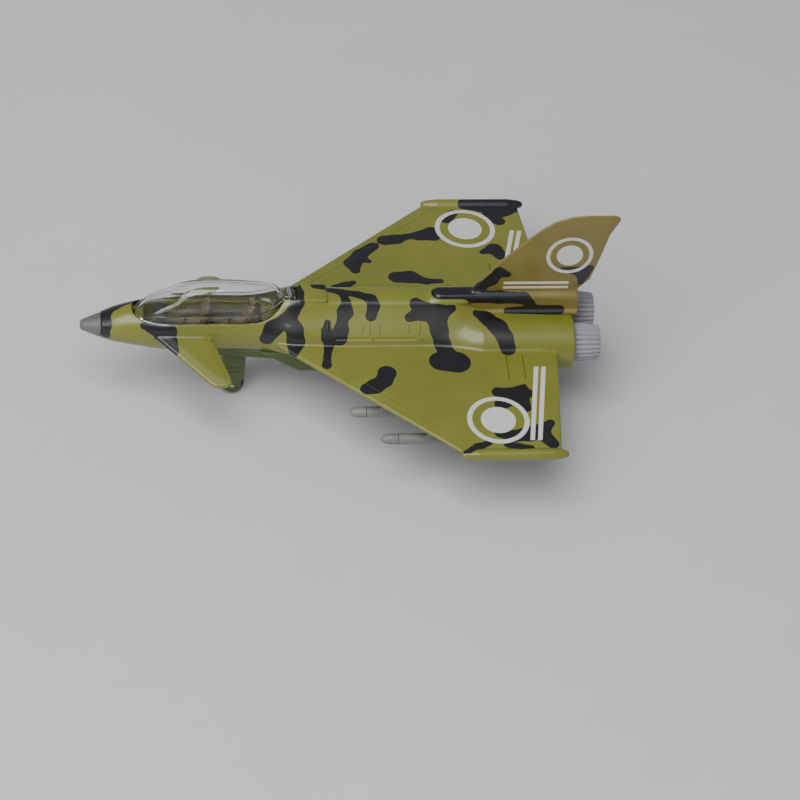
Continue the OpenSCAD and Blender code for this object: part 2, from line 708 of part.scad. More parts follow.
module main_leg_port() { main_leg(); }
module main_leg_starboard() { mirror([0, 1, 0]) main_leg(); }
module main_axle_port() { main_axle(); }
module main_axle_starboard() { mirror([0, 1, 0]) main_axle(); }
module main_wheel_port() { main_wheel(); }
module main_wheel_starboard() { mirror([0, 1, 0]) main_wheel(); }

// ---- screws ----
module screw(l) {
    difference() {
        union() {
            cylinder(d = screw_head_d, h = screw_head_h);
            cylinder(d = screw_d, h = l);
        }
        for (a = [0, 90]) rotate(a) translate([-1.2, -0.25, -1]) cube([2.4, 0.5, 1.7]);
    }
}

module belly_screws() {
    color(steel) translate([0, 0, axis_h - screw_seat - screw_head_h]) screw_places() screw(screw_l);
}

upper_body();
belly();
nose_cone();
canopy();
canopy_pin();
cockpit_insert();
fin();
nozzle_port();
nozzle_starboard();
missile_port_inner();
missile_port_outer();
missile_starboard_inner();
missile_starboard_outer();
nose_gear_leg();
nose_axle();
nose_wheel();
main_leg_port();
main_leg_starboard();
main_axle_port();
main_axle_starboard();
main_wheel_port();
main_wheel_starboard();
belly_screws();
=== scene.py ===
"""Toy jet fighter: the painted die-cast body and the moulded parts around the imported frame.

Shapes are worked in millimetres: x forward, y to port, z above the fuselage centreline.
A station is the distance aft of the nose tip.
"""

import math

import bmesh
import bpy
import numpy as np
from mathutils import Matrix, Vector


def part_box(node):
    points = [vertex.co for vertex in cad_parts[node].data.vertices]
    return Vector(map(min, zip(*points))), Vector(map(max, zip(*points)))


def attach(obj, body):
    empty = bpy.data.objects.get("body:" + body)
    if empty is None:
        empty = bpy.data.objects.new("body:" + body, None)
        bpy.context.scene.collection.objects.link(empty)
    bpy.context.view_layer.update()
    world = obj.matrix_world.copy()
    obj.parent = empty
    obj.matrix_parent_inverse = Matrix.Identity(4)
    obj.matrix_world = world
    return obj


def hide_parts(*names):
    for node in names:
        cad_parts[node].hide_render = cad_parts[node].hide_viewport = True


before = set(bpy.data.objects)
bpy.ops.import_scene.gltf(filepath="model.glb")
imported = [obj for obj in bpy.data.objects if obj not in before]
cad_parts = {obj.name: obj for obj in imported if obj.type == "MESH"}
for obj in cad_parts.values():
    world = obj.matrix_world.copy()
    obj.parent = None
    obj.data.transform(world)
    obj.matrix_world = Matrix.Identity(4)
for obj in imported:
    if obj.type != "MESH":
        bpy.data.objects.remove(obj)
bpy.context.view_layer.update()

MM = 0.001


def box_mm(node):
    """Lowest and highest corner of a frame node, in millimetres."""
    low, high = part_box(node)
    return np.array(low) / MM, np.array(high) / MM


def middle(node):
    """Centre of a frame node, in millimetres."""
    low, high = box_mm(node)
    return (low + high) / 2


# ---- places taken from the frame ----
NOSE = box_mm("nose_cone")[1][0]
TAIL = box_mm("nozzle_port")[0][0]
CONE_DROP = 0.7
AXIS = middle("nose_cone")[2] + CONE_DROP
HALF_SPAN = box_mm("upper_body")[1][1]
FIN_TOP = box_mm("fin")[1][2] - AXIS
FIN_REAR = box_mm("fin")[0][0]
NACELLE = np.array([middle("nozzle_port")[1], middle("nozzle_port")[2] - AXIS])
HINGE = middle("canopy_pin") - [0, 0, AXIS]
CANOPY_FRONT = box_mm("canopy")[1][0]
SILL = box_mm("canopy")[0][2] - AXIS
BUBBLE = box_mm("canopy")[1][2] - AXIS


def at(station):
    """x of a station aft of the nose tip."""
    return NOSE - station


# ---- distances: negative inside, in millimetres ----
def join(a, b, blend):
    """Both solids together, with a fillet."""
    share = np.clip(0.5 + 0.5 * (b - a) / blend, 0, 1)
    return b + (a - b) * share - blend * share * (1 - share)


def cut(a, b, blend):
    """The first solid without the second, with a rounded edge."""
    return -join(-a, b, blend)


def meet(a, b, blend):
    """What both solids share, with a rounded edge."""
    return -join(-a, -b, blend)


def outline(u, v, corners):
    """Distance in a plane to a closed outline."""
    nearest = 1e9
    inside = False
    for (u0, v0), (u1, v1) in zip(corners, corners[1:] + corners[:1]):
        du = u1 - u0
        dv = v1 - v0
        along = np.clip(((u - u0) * du + (v - v0) * dv) / (du * du + dv * dv), 0, 1)
        nearest = np.minimum(nearest, (u - u0 - along * du) ** 2 + (v - v0 - along * dv) ** 2)
        if dv != 0:
            crosses = ((v0 > v) != (v1 > v)) & (u < u0 + (v - v0) * du / dv)
            inside = inside ^ crosses
    return np.where(inside, -1, 1) * np.sqrt(nearest)


def slab(flat, height, rounding):
    """A plate from its distance in plan and its distance above or below, with round edges."""
    a = flat + rounding
    b = height + rounding
    outside = np.hypot(np.maximum(a, 0), np.maximum(b, 0))
    return np.minimum(np.maximum(a, b), 0) + outside - rounding


def brick(x, y, z, centre, size, rounding):
    """A block with round edges."""
    a = np.abs(x - centre[0]) - size[0] / 2 + rounding
    b = np.abs(y - centre[1]) - size[1] / 2 + rounding
    c = np.abs(z - centre[2]) - size[2] / 2 + rounding
    outside = np.sqrt(np.maximum(a, 0) ** 2 + np.maximum(b, 0) ** 2 + np.maximum(c, 0) ** 2)
    return np.minimum(np.maximum(np.maximum(a, b), c), 0) + outside - rounding


def capsule(x, y, z, start, end, start_radius, end_radius):
    """A rounded stroke between two points, with a radius at each."""
    run = np.subtract(end, start)
    along = (x - start[0]) * run[0] + (y - start[1]) * run[1] + (z - start[2]) * run[2]
    share = np.clip(along / max(run @ run, 1e-6), 0, 1)
    gap = (x - start[0] - share * run[0]) ** 2 + (y - start[1] - share * run[1]) ** 2
    gap = gap + (z - start[2] - share * run[2]) ** 2
    return np.sqrt(gap) - start_radius - share * (end_radius - start_radius)


def eased(value, low, high):
    """0 below low, 1 above high, smooth between."""
    share = np.clip((value - low) / (high - low), 0, 1)
    return share * share * (3 - 2 * share)


# ---- meshes from distances ----
def surface_net(distance, xs, ys, zs):
    """Points and four-sided faces round the zero level of a distance, on a grid."""
    axes = (xs, ys, zs)
    field = distance(xs[:, None, None], ys[None, :, None], zs[None, None, :])
    field = np.broadcast_to(field, (len(xs), len(ys), len(zs)))
    solid = field < 0
    corners = [(i, j, k) for i in (0, 1) for j in (0, 1) for k in (0, 1)]
    shape = [n - 1 for n in field.shape]
    filled = np.zeros(shape, np.int8)
    for i, j, k in corners:
        filled += solid[i : i + shape[0], j : j + shape[1], k : k + shape[2]]
    mixed = (filled > 0) & (filled < 8)
    cell = np.full(shape, -1, np.int32)
    cell[mixed] = np.arange(mixed.sum())
    spots = np.argwhere(mixed)
    total = np.zeros((len(spots), 3))
    hits = np.zeros(len(spots))
    for corner in corners:
        for axis in range(3):
            if corner[axis] == 1:
                continue
            near = spots + corner
            far = near.copy()
            far[:, axis] += 1
            a = field[tuple(near.T)]
            b = field[tuple(far.T)]
            crossing = (a < 0) != (b < 0)
            share = np.where(crossing, a / np.where(crossing, a - b, 1), 0)
            place = np.stack([axes[n][near[:, n]] for n in range(3)], 1)
            place[:, axis] += share * (axes[axis][far[:, axis]] - axes[axis][near[:, axis]])
            total += place * crossing[:, None]
            hits += crossing
    quads = []
    for axis in range(3):
        low = [slice(1, -1)] * 3
        high = [slice(1, -1)] * 3
        low[axis] = slice(0, -1)
        high[axis] = slice(1, None)
        starts = solid[tuple(low)]
        spot = np.argwhere(starts != solid[tuple(high)])
        leaves = starts[tuple(spot.T)]
        u = np.eye(3, dtype=int)[(axis + 1) % 3]
        v = np.eye(3, dtype=int)[(axis + 2) % 3]
        spot = spot + u + v
        ring = [spot - u - v, spot - v, spot, spot - u]
        quad = np.stack([cell[tuple(r.T)] for r in ring], 1)
        quads.append(np.where(leaves[:, None], quad, quad[:, ::-1]))
    return total / hits[:, None], np.concatenate(quads)


def slope_at(distance, points, reach):
    """Gradient of a distance at points."""
    slope = np.zeros_like(points)
    for axis in range(3):
        ahead = points.copy()
        behind = points.copy()
        ahead[:, axis] += reach
        behind[:, axis] -= reach
        slope[:, axis] = (distance(*ahead.T) - distance(*behind.T)) / (2 * reach)
    return slope


def settle(distance, points, step):
    """Points pulled on to the surface of a distance."""
    for _ in range(3):
        slope = slope_at(distance, points, 0.05)
        steep = np.maximum((slope**2).sum(1), 0.2)
        move = -(distance(*points.T) / steep)[:, None] * slope
        length = np.linalg.norm(move, axis=1, keepdims=True)
        points = points + move * np.minimum(1, 0.6 * step / np.maximum(length, 1e-9))
    return points


def spaced(*stops):
    """Grid lines through stops of (place, step up to the next place)."""
    lines = []
    for (start, step), (end, _) in zip(stops, stops[1:]):
        count = max(1, round((end - start) / step))
        lines.append(start + (end - start) * np.arange(count) / count)
    return np.concatenate(lines + [[stops[-1][0]]])


def new_mesh(name, points, faces, material):
    """A mesh object from points in millimetres about the centreline."""
    place = (np.asarray(points, float) + [0, 0, AXIS]) * MM
    mesh = bpy.data.meshes.new(name)
    mesh.from_pydata(place.tolist(), [], [list(map(int, f)) for f in faces])
    mesh.materials.append(material)
    mesh.shade_smooth()
    piece = bpy.data.objects.new(name, mesh)
    bpy.context.scene.collection.objects.link(piece)
    return piece


def moulded(name, distance, lines, material, shading=0.22):
    """A piece meshed from its distance, shaded by the distance's own slope."""
    points, faces = surface_net(distance, *lines)
    step = max(np.diff(a).min() for a in lines)
    points = settle(distance, points, step)
    piece = new_mesh(name, points, faces, material)
    normals = slope_at(distance, points, shading)
    normals /= np.maximum(np.linalg.norm(normals, axis=1, keepdims=True), 1e-9)
    piece.data.normals_split_custom_set_from_vertices(normals.tolist())
    return piece


def even(low, high, step):
    """Evenly spaced grid lines."""
    return np.linspace(low, high, max(3, math.ceil((high - low) / step) + 1))


def rounded_profile(points, radius, steps=3):
    """An open profile with its inner corners rounded."""
    result = [points[0]]
    for before, here, after in zip(points, points[1:], points[2:]):
        back = np.subtract(before, here)
        ahead = np.subtract(after, here)
        size = min(radius, 0.45 * np.linalg.norm(back), 0.45 * np.linalg.norm(ahead))
        start = here + back / np.linalg.norm(back) * size
        end = here + ahead / np.linalg.norm(ahead) * size
        for n in range(steps + 1):
            t = n / steps
            result.append(tuple((1 - t) ** 2 * start + 2 * t * (1 - t) * np.array(here) + t * t * end))
    return result + [points[-1]]


def turned(name, profile, centre, axis, material, turns=96, ripple=None):
    """A piece turned round an axis, from a profile of (place along, radius); ripple changes the radius."""
    points = []
    faces = []
    for along, radius in profile:
        for n in range(turns):
            angle = 2 * math.pi * n / turns
            size = radius if ripple is None else ripple(along, radius, angle)
            local = (along, size * math.cos(angle), size * math.sin(angle))
            spot = local if axis == "x" else (local[2], local[0], local[1])
            points.append(np.add(centre, spot))
    rings = len(profile)
    for k in range(rings - 1):
        for n in range(turns):
            after = (n + 1) % turns
            faces.append((k * turns + n, k * turns + after, (k + 1) * turns + after, (k + 1) * turns + n))
    piece = new_mesh(name, points, faces, material)
    soften(piece)
    return piece


def soften(piece, angle=35):
    """Joins doubled points, turns the faces outward and keeps edges sharper than the angle crisp."""
    mesh = bmesh.new()
    mesh.from_mesh(piece.data)
    bmesh.ops.remove_doubles(mesh, verts=mesh.verts, dist=1e-6)
    bmesh.ops.recalc_face_normals(mesh, faces=mesh.faces)
    mesh.to_mesh(piece.data)
    mesh.free()
    piece.data.set_sharp_from_angle(angle=math.radians(angle))


# ---- finishes ----
class Wire:
    """A number, colour or vector in a finish; sums on wires add Math nodes."""

    def __init__(self, finish, socket):
        self.finish = finish
        self.socket = socket

    def __add__(self, other):
        return self.finish.math("ADD", self, other)

    def __radd__(self, other):
        return self.finish.math("ADD", other, self)

    def __sub__(self, other):
        return self.finish.math("SUBTRACT", self, other)

    def __rsub__(self, other):
        return self.finish.math("SUBTRACT", other, self)

    def __mul__(self, other):
        return self.finish.math("MULTIPLY", self, other)

    def __rmul__(self, other):
        return self.finish.math("MULTIPLY", other, self)

    def __truediv__(self, other):
        return self.finish.math("DIVIDE", self, other)

    def __neg__(self):
        return self.finish.math("MULTIPLY", self, -1)


class Finish:
    """A material built round one Principled shader."""

    def __init__(self, name, **constants):
        self.material = bpy.data.materials.new(name)
        self.material.use_nodes = True
        self.nodes = self.material.node_tree.nodes
        self.links = self.material.node_tree.links
        self.nodes.clear()
        self.shader = self.node("ShaderNodeBsdfPrincipled", {}, {k: v for k, v in constants.items()})
        output = self.node("ShaderNodeOutputMaterial", {}, {})
        self.links.new(self.shader.outputs[0], output.inputs["Surface"])
        place = self.node("ShaderNodeTexCoord", {}, {})
        self.place = Wire(self, place.outputs["Object"])
        facing = self.node("ShaderNodeSeparateXYZ", {}, {"Vector": Wire(self, place.outputs["Normal"])})
        self.facing_up = Wire(self, facing.outputs["Z"])
        apart = self.node("ShaderNodeSeparateXYZ", {}, {"Vector": self.place})
        self.x = Wire(self, apart.outputs["X"]) * (1 / MM)
        self.y = Wire(self, apart.outputs["Y"]) * (1 / MM)
        self.z = Wire(self, apart.outputs["Z"]) * (1 / MM) - AXIS

    def node(self, kind, settings, sockets):
        """A node with its settings, then the values or links of its sockets."""
        made = self.nodes.new(kind)
        for key, value in settings.items():
            if key == "stops":
                ramp = made.color_ramp.elements
                while len(ramp) < len(value):
                    ramp.new(0.5)
                for element, (place, colour) in zip(ramp, value):
                    element.position = place
                    element.color = colour
            else:
                setattr(made, key, value)
        for key, value in sockets.items():
            socket = made.inputs[key] if isinstance(key, int) else self.socket(made, key)
            if isinstance(value, Wire):
                self.links.new(value.socket, socket)
            else:
                socket.default_value = value
        return made

    @staticmethod
    def socket(node, key):
        """An input by its identifier or its name."""
        spaced_name = key.replace("_", " ")
        for socket in node.inputs:
            if socket.identifier == key:
                return socket
        return node.inputs[spaced_name]

    def math(self, operation, a, b=0.0):
        made = self.node("ShaderNodeMath", {"operation": operation}, {0: a, 1: b})
        return Wire(self, made.outputs[0])

    def size(self, value):
        return self.math("ABSOLUTE", value)

    def most(self, a, b):
        return self.math("MAXIMUM", a, b)

    def step(self, value, low, high, start=0.0, end=1.0):
        """A smooth step from start to end as a value passes from low to high."""
        made = self.node(
            "ShaderNodeMapRange",
            {"interpolation_type": "SMOOTHSTEP"},
            {0: value, 1: low, 2: high, 3: start, 4: end},
        )
        return Wire(self, made.outputs[0])

    def mix(self, share, a, b):
        """A colour between two."""
        made = self.node(
            "ShaderNodeMix",
            {"data_type": "RGBA"},
            {"Factor_Float": share, "A_Color": a, "B_Color": b},
        )
        return Wire(self, made.outputs[2])

    def noise(self, scale, detail=2.0, roughness=0.5, stretch=(1, 1, 1)):
        """Smooth noise from 0 to 1; the scale counts per metre."""
        spread = self.node(
            "ShaderNodeVectorMath",
            {"operation": "MULTIPLY"},
            {0: self.place, 1: stretch},
        )
        made = self.node(
            "ShaderNodeTexNoise",
            {},
            {
                "Vector": Wire(self, spread.outputs[0]),
                "Scale": scale,
                "Detail": detail,
                "Roughness": roughness,
            },
        )
        return Wire(self, made.outputs[0])

    def attribute(self, name):
        """A value kept on the points of a mesh."""
        made = self.node("ShaderNodeAttribute", {"attribute_name": name}, {})
        return Wire(self, made.outputs["Fac"])

    def feed(self, **sockets):
        """Links or sets inputs of the Principled shader."""
        for key, value in sockets.items():
            socket = self.socket(self.shader, key)
            if isinstance(value, Wire):
                self.links.new(value.socket, socket)
            else:
                socket.default_value = value

    def bump(self, height, depth):
        """Relief from a height of 0 to 1, over a depth in millimetres."""
        sockets = {"Height": height, "Distance": depth * MM, "Strength": 1.0}
        made = self.node("ShaderNodeBump", {}, sockets)
        self.links.new(made.outputs[0], self.shader.inputs["Normal"])


OLIVE = (0.163, 0.172, 0.020, 1)
OLIVE_LIGHT = (0.192, 0.198, 0.026, 1)
BLACK = (0.006, 0.006, 0.008, 1)
MARK_WHITE = (0.62, 0.62, 0.58, 1)
FIN_OLIVE = (0.165, 0.125, 0.022, 1)


def ring_mark(finish, a, b, radius):
    """A plain ring round a plain disc, about the origin of two coordinates."""
    away = finish.math("SQRT", a * a + b * b)
    from_ring = finish.size(away - 0.92 * radius)
    ring = finish.step(from_ring, 0.08 * radius - 0.08, 0.08 * radius + 0.08, 1.0, 0.0)
    disc = finish.step(away, 0.56 * radius - 0.08, 0.56 * radius + 0.08, 1.0, 0.0)
    return finish.most(ring, disc)


def bar_mark(finish, a, b, long, wide):
    """A plain bar about the origin of two coordinates."""
    return finish.step(finish.size(a), long / 2 - 0.08, long / 2 + 0.08, 1.0, 0.0) * finish.step(
        finish.size(b), wide / 2 - 0.08, wide / 2 + 0.08, 1.0, 0.0
    )


def line_mark(finish, away, width):
    """1 on a thin line, from the distance to it."""
    return finish.step(finish.size(away), width / 2 - 0.08, width / 2 + 0.08, 1.0, 0.0)


# wing edges, shared by the casting and the engraved lines
WING_ROOT_Y = 13.7
WING_LE = 72.0
POD_RADIUS = 2.1
POD_Y = HALF_SPAN - POD_RADIUS
WING_TIP_LE = NOSE - (TAIL + 56)
WING_TE = NOSE - (TAIL + 16.5)
WING_TIP_TE = NOSE - (TAIL + 21)
WING_MID = -0.4
ANHEDRAL = math.tan(math.radians(3))
LE_SLOPE = (WING_TIP_LE - WING_LE) / (POD_Y - WING_ROOT_Y)
FLAP_LINES = (154.0, 160.0)


def camo_paint():
    """Gloss olive enamel with black patches, printed marks and engraved panel lines, the lines darkened
    with painted shade.
    """
    finish = Finish("camo_paint", IOR=1.5, Coat_Roughness=0.06, Coat_IOR=1.5)
    side = finish.size(finish.y)
    station = NOSE - finish.x
    blotch = finish.noise(90, 3)
    cloud = finish.noise(22, 2)
    grain = finish.noise(900, 2)
    orange_peel = finish.noise(420, 1)
    painted_side = finish.step(finish.facing_up, -0.6, -0.4)
    black = finish.step(finish.attribute("patch"), -0.1, 0.1, 1.0, 0.0) * painted_side
    olive = finish.mix(finish.step(cloud + 0.3 * blotch, 0.45, 0.85), OLIVE, OLIVE_LIGHT)
    colour = finish.mix(black, olive, BLACK)
    # printed marks on the upper faces of the wings
    top = finish.step(finish.facing_up, 0.3, 0.5) * finish.step(side, 24, 24.2)
    away = station - 147.5
    mark = ring_mark(finish, away, side - 51.6, 11.3)
    for along, slant, long in ((finish.y - 43.5, 0.157, 36), (-36 - finish.y, -0.25, 29)):
        across = station - 163.0 + slant * along
        bar = bar_mark(finish, across, along, 4.4, long)
        mark = finish.most(mark, bar * (1 - line_mark(finish, across, 1.1)))
    mark = mark * top
    worn = finish.step(grain, 0.2, 0.42, 0.86, 1.0)
    colour = finish.mix(mark * worn, colour, MARK_WHITE)
    # engraved lines: bump relief, with painted shade darkening the olive along them
    inward = (station - WING_LE - LE_SLOPE * (side - WING_ROOT_Y)) / math.hypot(1, LE_SLOPE)
    on_wing = finish.step(side, 19.5, 20.0) * finish.step(side, 64, 64.5, 1.0, 0.0)
    slat = line_mark(finish, inward - 4.4, 0.3) * on_wing
    on_flap = finish.step(side, 19, 19.4) * finish.step(side, 31, 31.4, 1.0, 0.0)
    first, second = (line_mark(finish, station - line, 0.34) for line in FLAP_LINES)
    flap = finish.most(first, second)
    lines = finish.most(0.5 * slat, flap * on_flap)
    # the dark olive mixed along the lines is painted shade in the grooves
    colour = finish.mix(lines * 0.45, colour, (0.05, 0.05, 0.012, 1))
    finish.feed(
        Base_Color=colour,
        Roughness=finish.step(blotch, 0.2, 0.8, 0.3, 0.42) + 0.12 * mark,
        Coat_Weight=0.35 - 0.15 * mark,
    )
    finish.bump(0.12 * orange_peel + 0.03 * grain - lines, 0.22)
    return finish.material


def fin_paint():
    """Gloss olive moulding with black patches and printed marks on both faces."""
    finish = Finish("fin_plastic", IOR=1.5, Coat_Roughness=0.08)
    station = NOSE - finish.x
    blotch = finish.noise(70, 3)
    grain = finish.noise(800, 2)
    black = finish.step(finish.attribute("patch"), -0.1, 0.1, 1.0, 0.0)
    olive = finish.mix(finish.step(blotch, 0.3, 0.7), FIN_OLIVE, (0.19, 0.15, 0.028, 1))
    colour = finish.mix(black, olive, BLACK)
    mark = ring_mark(finish, station - 176.5, finish.z - 32.6, 8.6)
    bar = bar_mark(finish, station - 165.5, finish.z - 18.3, 24, 3.4)
    gap = line_mark(finish, finish.z - 18.3, 1.1)
    mark = finish.most(mark, bar * (1 - gap))
    colour = finish.mix(mark * 0.95, colour, MARK_WHITE)
    finish.feed(
        Base_Color=colour,
        Roughness=finish.step(blotch, 0.2, 0.8, 0.34, 0.46) + 0.1 * mark,
        Coat_Weight=0.35,
    )
    finish.bump(0.5 * grain, 0.02)
    return finish.material


def plastic(name, colour, light, roughness, depth=0.03, scale=500):
    """Moulded plastic with a faint grain and cloudy colour."""
    finish = Finish(name, IOR=1.47)
    cloud = finish.noise(60, 3)
    grain = finish.noise(scale, 3)
    finish.feed(
        Base_Color=finish.mix(finish.step(cloud, 0.3, 0.7), (*colour, 1), (*light, 1)),
        Roughness=finish.step(grain, 0.25, 0.75, roughness - 0.06, roughness + 0.08),
    )
    finish.bump(grain, depth)
    return finish.material


def clear_plastic():
    """Clear moulding with faint flow ripples."""
    finish = Finish("clear_canopy", IOR=1.49, Transmission_Weight=1.0)
    ripple = finish.noise(120, 2, stretch=(0.4, 1, 1))
    scuff = finish.noise(260, 4)
    finish.feed(
        Base_Color=finish.mix(
            finish.step(scuff, 0.3, 0.7),
            (0.95, 0.97, 0.96, 1),
            (0.985, 0.99, 0.985, 1),
        ),
        Roughness=finish.step(scuff, 0.4, 0.8, 0.015, 0.06),
    )
    finish.bump(ripple, 0.12)
    return finish.material


def bare_steel():
    """Drawn steel wire, a little dull."""
    finish = Finish("steel", Metallic=1.0)
    scratch = finish.noise(900, 3, stretch=(1, 0.1, 1))
    cloud = finish.noise(200, 2)
    finish.feed(
        Base_Color=finish.mix(cloud, (0.5, 0.5, 0.52, 1), (0.66, 0.66, 0.67, 1)),
        Roughness=finish.step(scratch, 0.3, 0.7, 0.26, 0.42),
    )
    finish.bump(scratch, 0.01)
    return finish.material


def tyre_plastic():
    """Satin black moulded wheel with dusty wear."""
    finish = Finish("tyre_black", IOR=1.48)
    dust = finish.noise(350, 4)
    finish.feed(
        Base_Color=finish.mix(
            finish.step(dust, 0.45, 0.8),
            (0.012, 0.012, 0.013, 1),
            (0.035, 0.034, 0.032, 1),
        ),
        Roughness=finish.step(dust, 0.3, 0.8, 0.42, 0.62),
    )
    finish.bump(dust, 0.02)
    return finish.material


CAMO = camo_paint()
FIN_PAINT = fin_paint()
BELLY_GREEN = plastic("belly_plastic", (0.055, 0.085, 0.022), (0.07, 0.10, 0.028), 0.36)
CONE_GREY = plastic("cone_grey", (0.11, 0.11, 0.108), (0.145, 0.145, 0.14), 0.4)
PALE_GREY = plastic("pale_grey", (0.25, 0.245, 0.28), (0.30, 0.29, 0.325), 0.42)
STORE_GREY = plastic("store_grey", (0.155, 0.165, 0.15), (0.20, 0.21, 0.19), 0.4)
COCKPIT_BROWN = plastic("cockpit_plastic", (0.15, 0.125, 0.065), (0.20, 0.17, 0.095), 0.5)
COCKPIT_SEAT = plastic("cockpit_seat", (0.17, 0.11, 0.055), (0.23, 0.16, 0.09), 0.45)
COCKPIT_DARK = plastic("cockpit_dark", (0.03, 0.03, 0.027), (0.05, 0.048, 0.043), 0.5)
CLEAR = clear_plastic()
STEEL = bare_steel()
TYRE = tyre_plastic()


# ---- the fuselage, as its reach from the centreline at each angle ----
STATIONS = {
    4.0: [(0, 3.1), (2.9, 2.0), (3.9, -0.7), (2.9, -3.4), (0, -4.5)],
    7.4: [(0, 4.2), (3.6, 2.9), (4.9, -0.7), (3.6, -4.3), (0, -5.6)],
    12.0: [(0, 6.7), (5.0, 4.7), (6.9, -0.3), (5.0, -5.3), (0, -7.3)],
    18.3: [(0, 8.4), (6.2, 5.9), (8.2, 0.2), (6.0, -5.9), (0, -8.3)],
    26.0: [(0, 9.2), (6.6, 7.2), (9.3, 1.6), (8.4, -4.4), (4.6, -8.4), (0, -9.0)],
    34.0: [(0, 9.6), (7.0, 8.2), (9.9, 3.4), (9.4, -3.6), (6.2, -8.6), (0, -9.6)],
    60.0: [(0, 9.8), (7.0, 8.6), (10.0, 3.6), (9.6, -3.6), (6.6, -8.8), (0, -9.8)],
    68.0: [(0, 12.0), (6.0, 11.0), (9.6, 5.6), (11.2, 1.5), (10.6, -4.0), (7, -9), (0, -10)],
    76.0: [(0, 15.0), (4.6, 14.4), (7.2, 9.8), (12.6, 4.6), (13.4, 0), (12.4, -6), (8, -9.6), (0, -10)],
    92.0: [(0, 13.8), (4.0, 13.4), (6.0, 10.8), (13.2, 4.2), (14.6, 1.6), (14.2, -3), (12, -8), (0, -10)],
    130.0: [(0, 13.6), (4.0, 13.2), (6.0, 10.6), (13.2, 4.0), (14.6, 1.4), (14.2, -3), (12, -8), (0, -10)],
    137.0: [(0, 12.6), (4.4, 12.0), (7.0, 9.2), (13.0, 4.2), (14.8, 1.0), (14.4, -3), (12, -8), (0, -10)],
    150.0: [(0, 7.4), (4.6, 7.2), (9.2, 6.8), (13.0, 4.2), (15.0, 0), (14.6, -4), (12, -9), (0, -10)],
    182.0: [(0, 5.6), (4.6, 5.6), (9.2, 5.8), (13.0, 3.6), (15.0, -1), (14.6, -5), (12, -9), (0, -10)],
}
REACH_STEP = 0.5
ANGLE_STEP = 0.5


def reach_round(half):
    """Reach at each angle from straight down to straight up, for half an outline cut round."""
    mirrored = [(-u, v) for u, v in half[-2:0:-1]]
    points = np.array(half + mirrored, float)
    for _ in range(4):
        after = np.roll(points, -1, 0)
        points = np.stack([0.75 * points + 0.25 * after, 0.25 * points + 0.75 * after], 1).reshape(-1, 2)
    angle = np.degrees(np.arctan2(points[:, 1], points[:, 0]))
    size = np.hypot(points[:, 0], points[:, 1])
    return np.interp(np.arange(-90, 90 + ANGLE_STEP, ANGLE_STEP), angle, size, period=360)


def reach_table(softness):
    """Reach by station and angle, softened lengthwise."""
    places = np.array(list(STATIONS))
    known = np.array([reach_round(half) for half in STATIONS.values()])
    fine = np.arange(places[0], places[-1], REACH_STEP)
    table = np.stack([np.interp(fine, places, column) for column in known.T], 1)
    half = int(3 * softness / REACH_STEP)
    weights = np.exp(-0.5 * (np.arange(-half, half + 1) * REACH_STEP / softness) ** 2)
    weights /= weights.sum()
    start = table[0] + (table[0] - table[1]) * np.arange(half, 0, -1)[:, None]
    end = table[-1] + (table[-1] - table[-2]) * np.arange(1, half + 1)[:, None]
    padded = np.concatenate([start, table, end])
    soft = np.stack([np.convolve(column, weights, "valid") for column in padded.T], 1)
    return fine[0], soft.astype(np.float32)


REACH_START, REACH = reach_table(2.0)


def barrel(x, side, z):
    """The fuselage without wings, nacelles or openings."""
    row = np.clip((NOSE - x - REACH_START) / REACH_STEP, 0, len(REACH) - 1.001)
    column = np.clip((np.degrees(np.arctan2(z, side)) + 90) / ANGLE_STEP, 0, REACH.shape[1] - 1.001)
    i = row.astype(int)
    j = column.astype(int)
    u = row - i
    v = column - j
    near = REACH[i, j] * (1 - v) + REACH[i, j + 1] * v
    far = REACH[i + 1, j] * (1 - v) + REACH[i + 1, j + 1] * v
    return np.hypot(side, z) - near * (1 - u) - far * u


# ---- canopy lines ----
CANOPY_LENGTH = 54.6
CANOPY_HALF = 7.6


def canopy_half(along):
    """Half width of the clear skirt, by distance from its front end."""
    nose = np.sqrt(np.clip(1 - (1 - np.clip(along / 16, 0, 1)) ** 2, 0, 1))
    tail = np.sqrt(np.clip(1 - np.clip((along - CANOPY_LENGTH + 9) / 9, 0, 1) ** 2, 0, 1))
    return CANOPY_HALF * nose**0.8 * tail**0.9


def canopy_top(along):
    """Height of the dome over the centreline, by distance from its front end."""
    stops = [0, 3, 6.2, 9.7, 13.2, 16.7, 20.2, 26, 32, 38.2, 45.8, 49.5, 53, CANOPY_LENGTH]
    tops = [7.0, 8.9, 10.4, 12.4, 14.4, 16.9, 18.6, 19.2, 19.2, 18.8, 17.7, 16.9, 15.6, 13.6]
    return np.interp(along, stops, tops) + BUBBLE - 19.2


def canopy_ledge(along):
    """Height of the ledge between the skirt and the dome."""
    rise = 3.4 * eased(along, 0, 9) + 4.0 * eased(along, 42, CANOPY_LENGTH)
    return np.minimum(SILL + 0.3 + rise, canopy_top(along) - 0.6)


def canopy_plan(grow, steps=12):
    """Outline of the canopy in plan, grown by a gap."""
    turns = 0.5 - 0.5 * np.cos(np.pi * np.arange(steps * 2 + 1) / (steps * 2))
    along = CANOPY_LENGTH * turns
    half = [(CANOPY_FRONT - a, w) for a, w in zip(along.tolist(), canopy_half(along).tolist())]
    port = [(x + grow * (1 if x > CANOPY_FRONT - 20 else -1) * (w < 4), w + grow) for x, w in half]
    return port + [(x, -w) for x, w in reversed(port)]


CANOPY_PLAN = canopy_plan(0.35)


# ---- painted casting ----
SADDLE = 5.5
FIN_POD_FRONT = FIN_REAR + 3.6 + 8.2 + 54.0
FIN_POD_REAR = FIN_REAR + 3.6 + 8.2
FIN_POD_HALF = 3.0
NACELLE_LIP = TAIL + 10.0
BELLY_TOP = -5.5
BELLY_FRONT = at(44)
BELLY_REAR = TAIL + 42


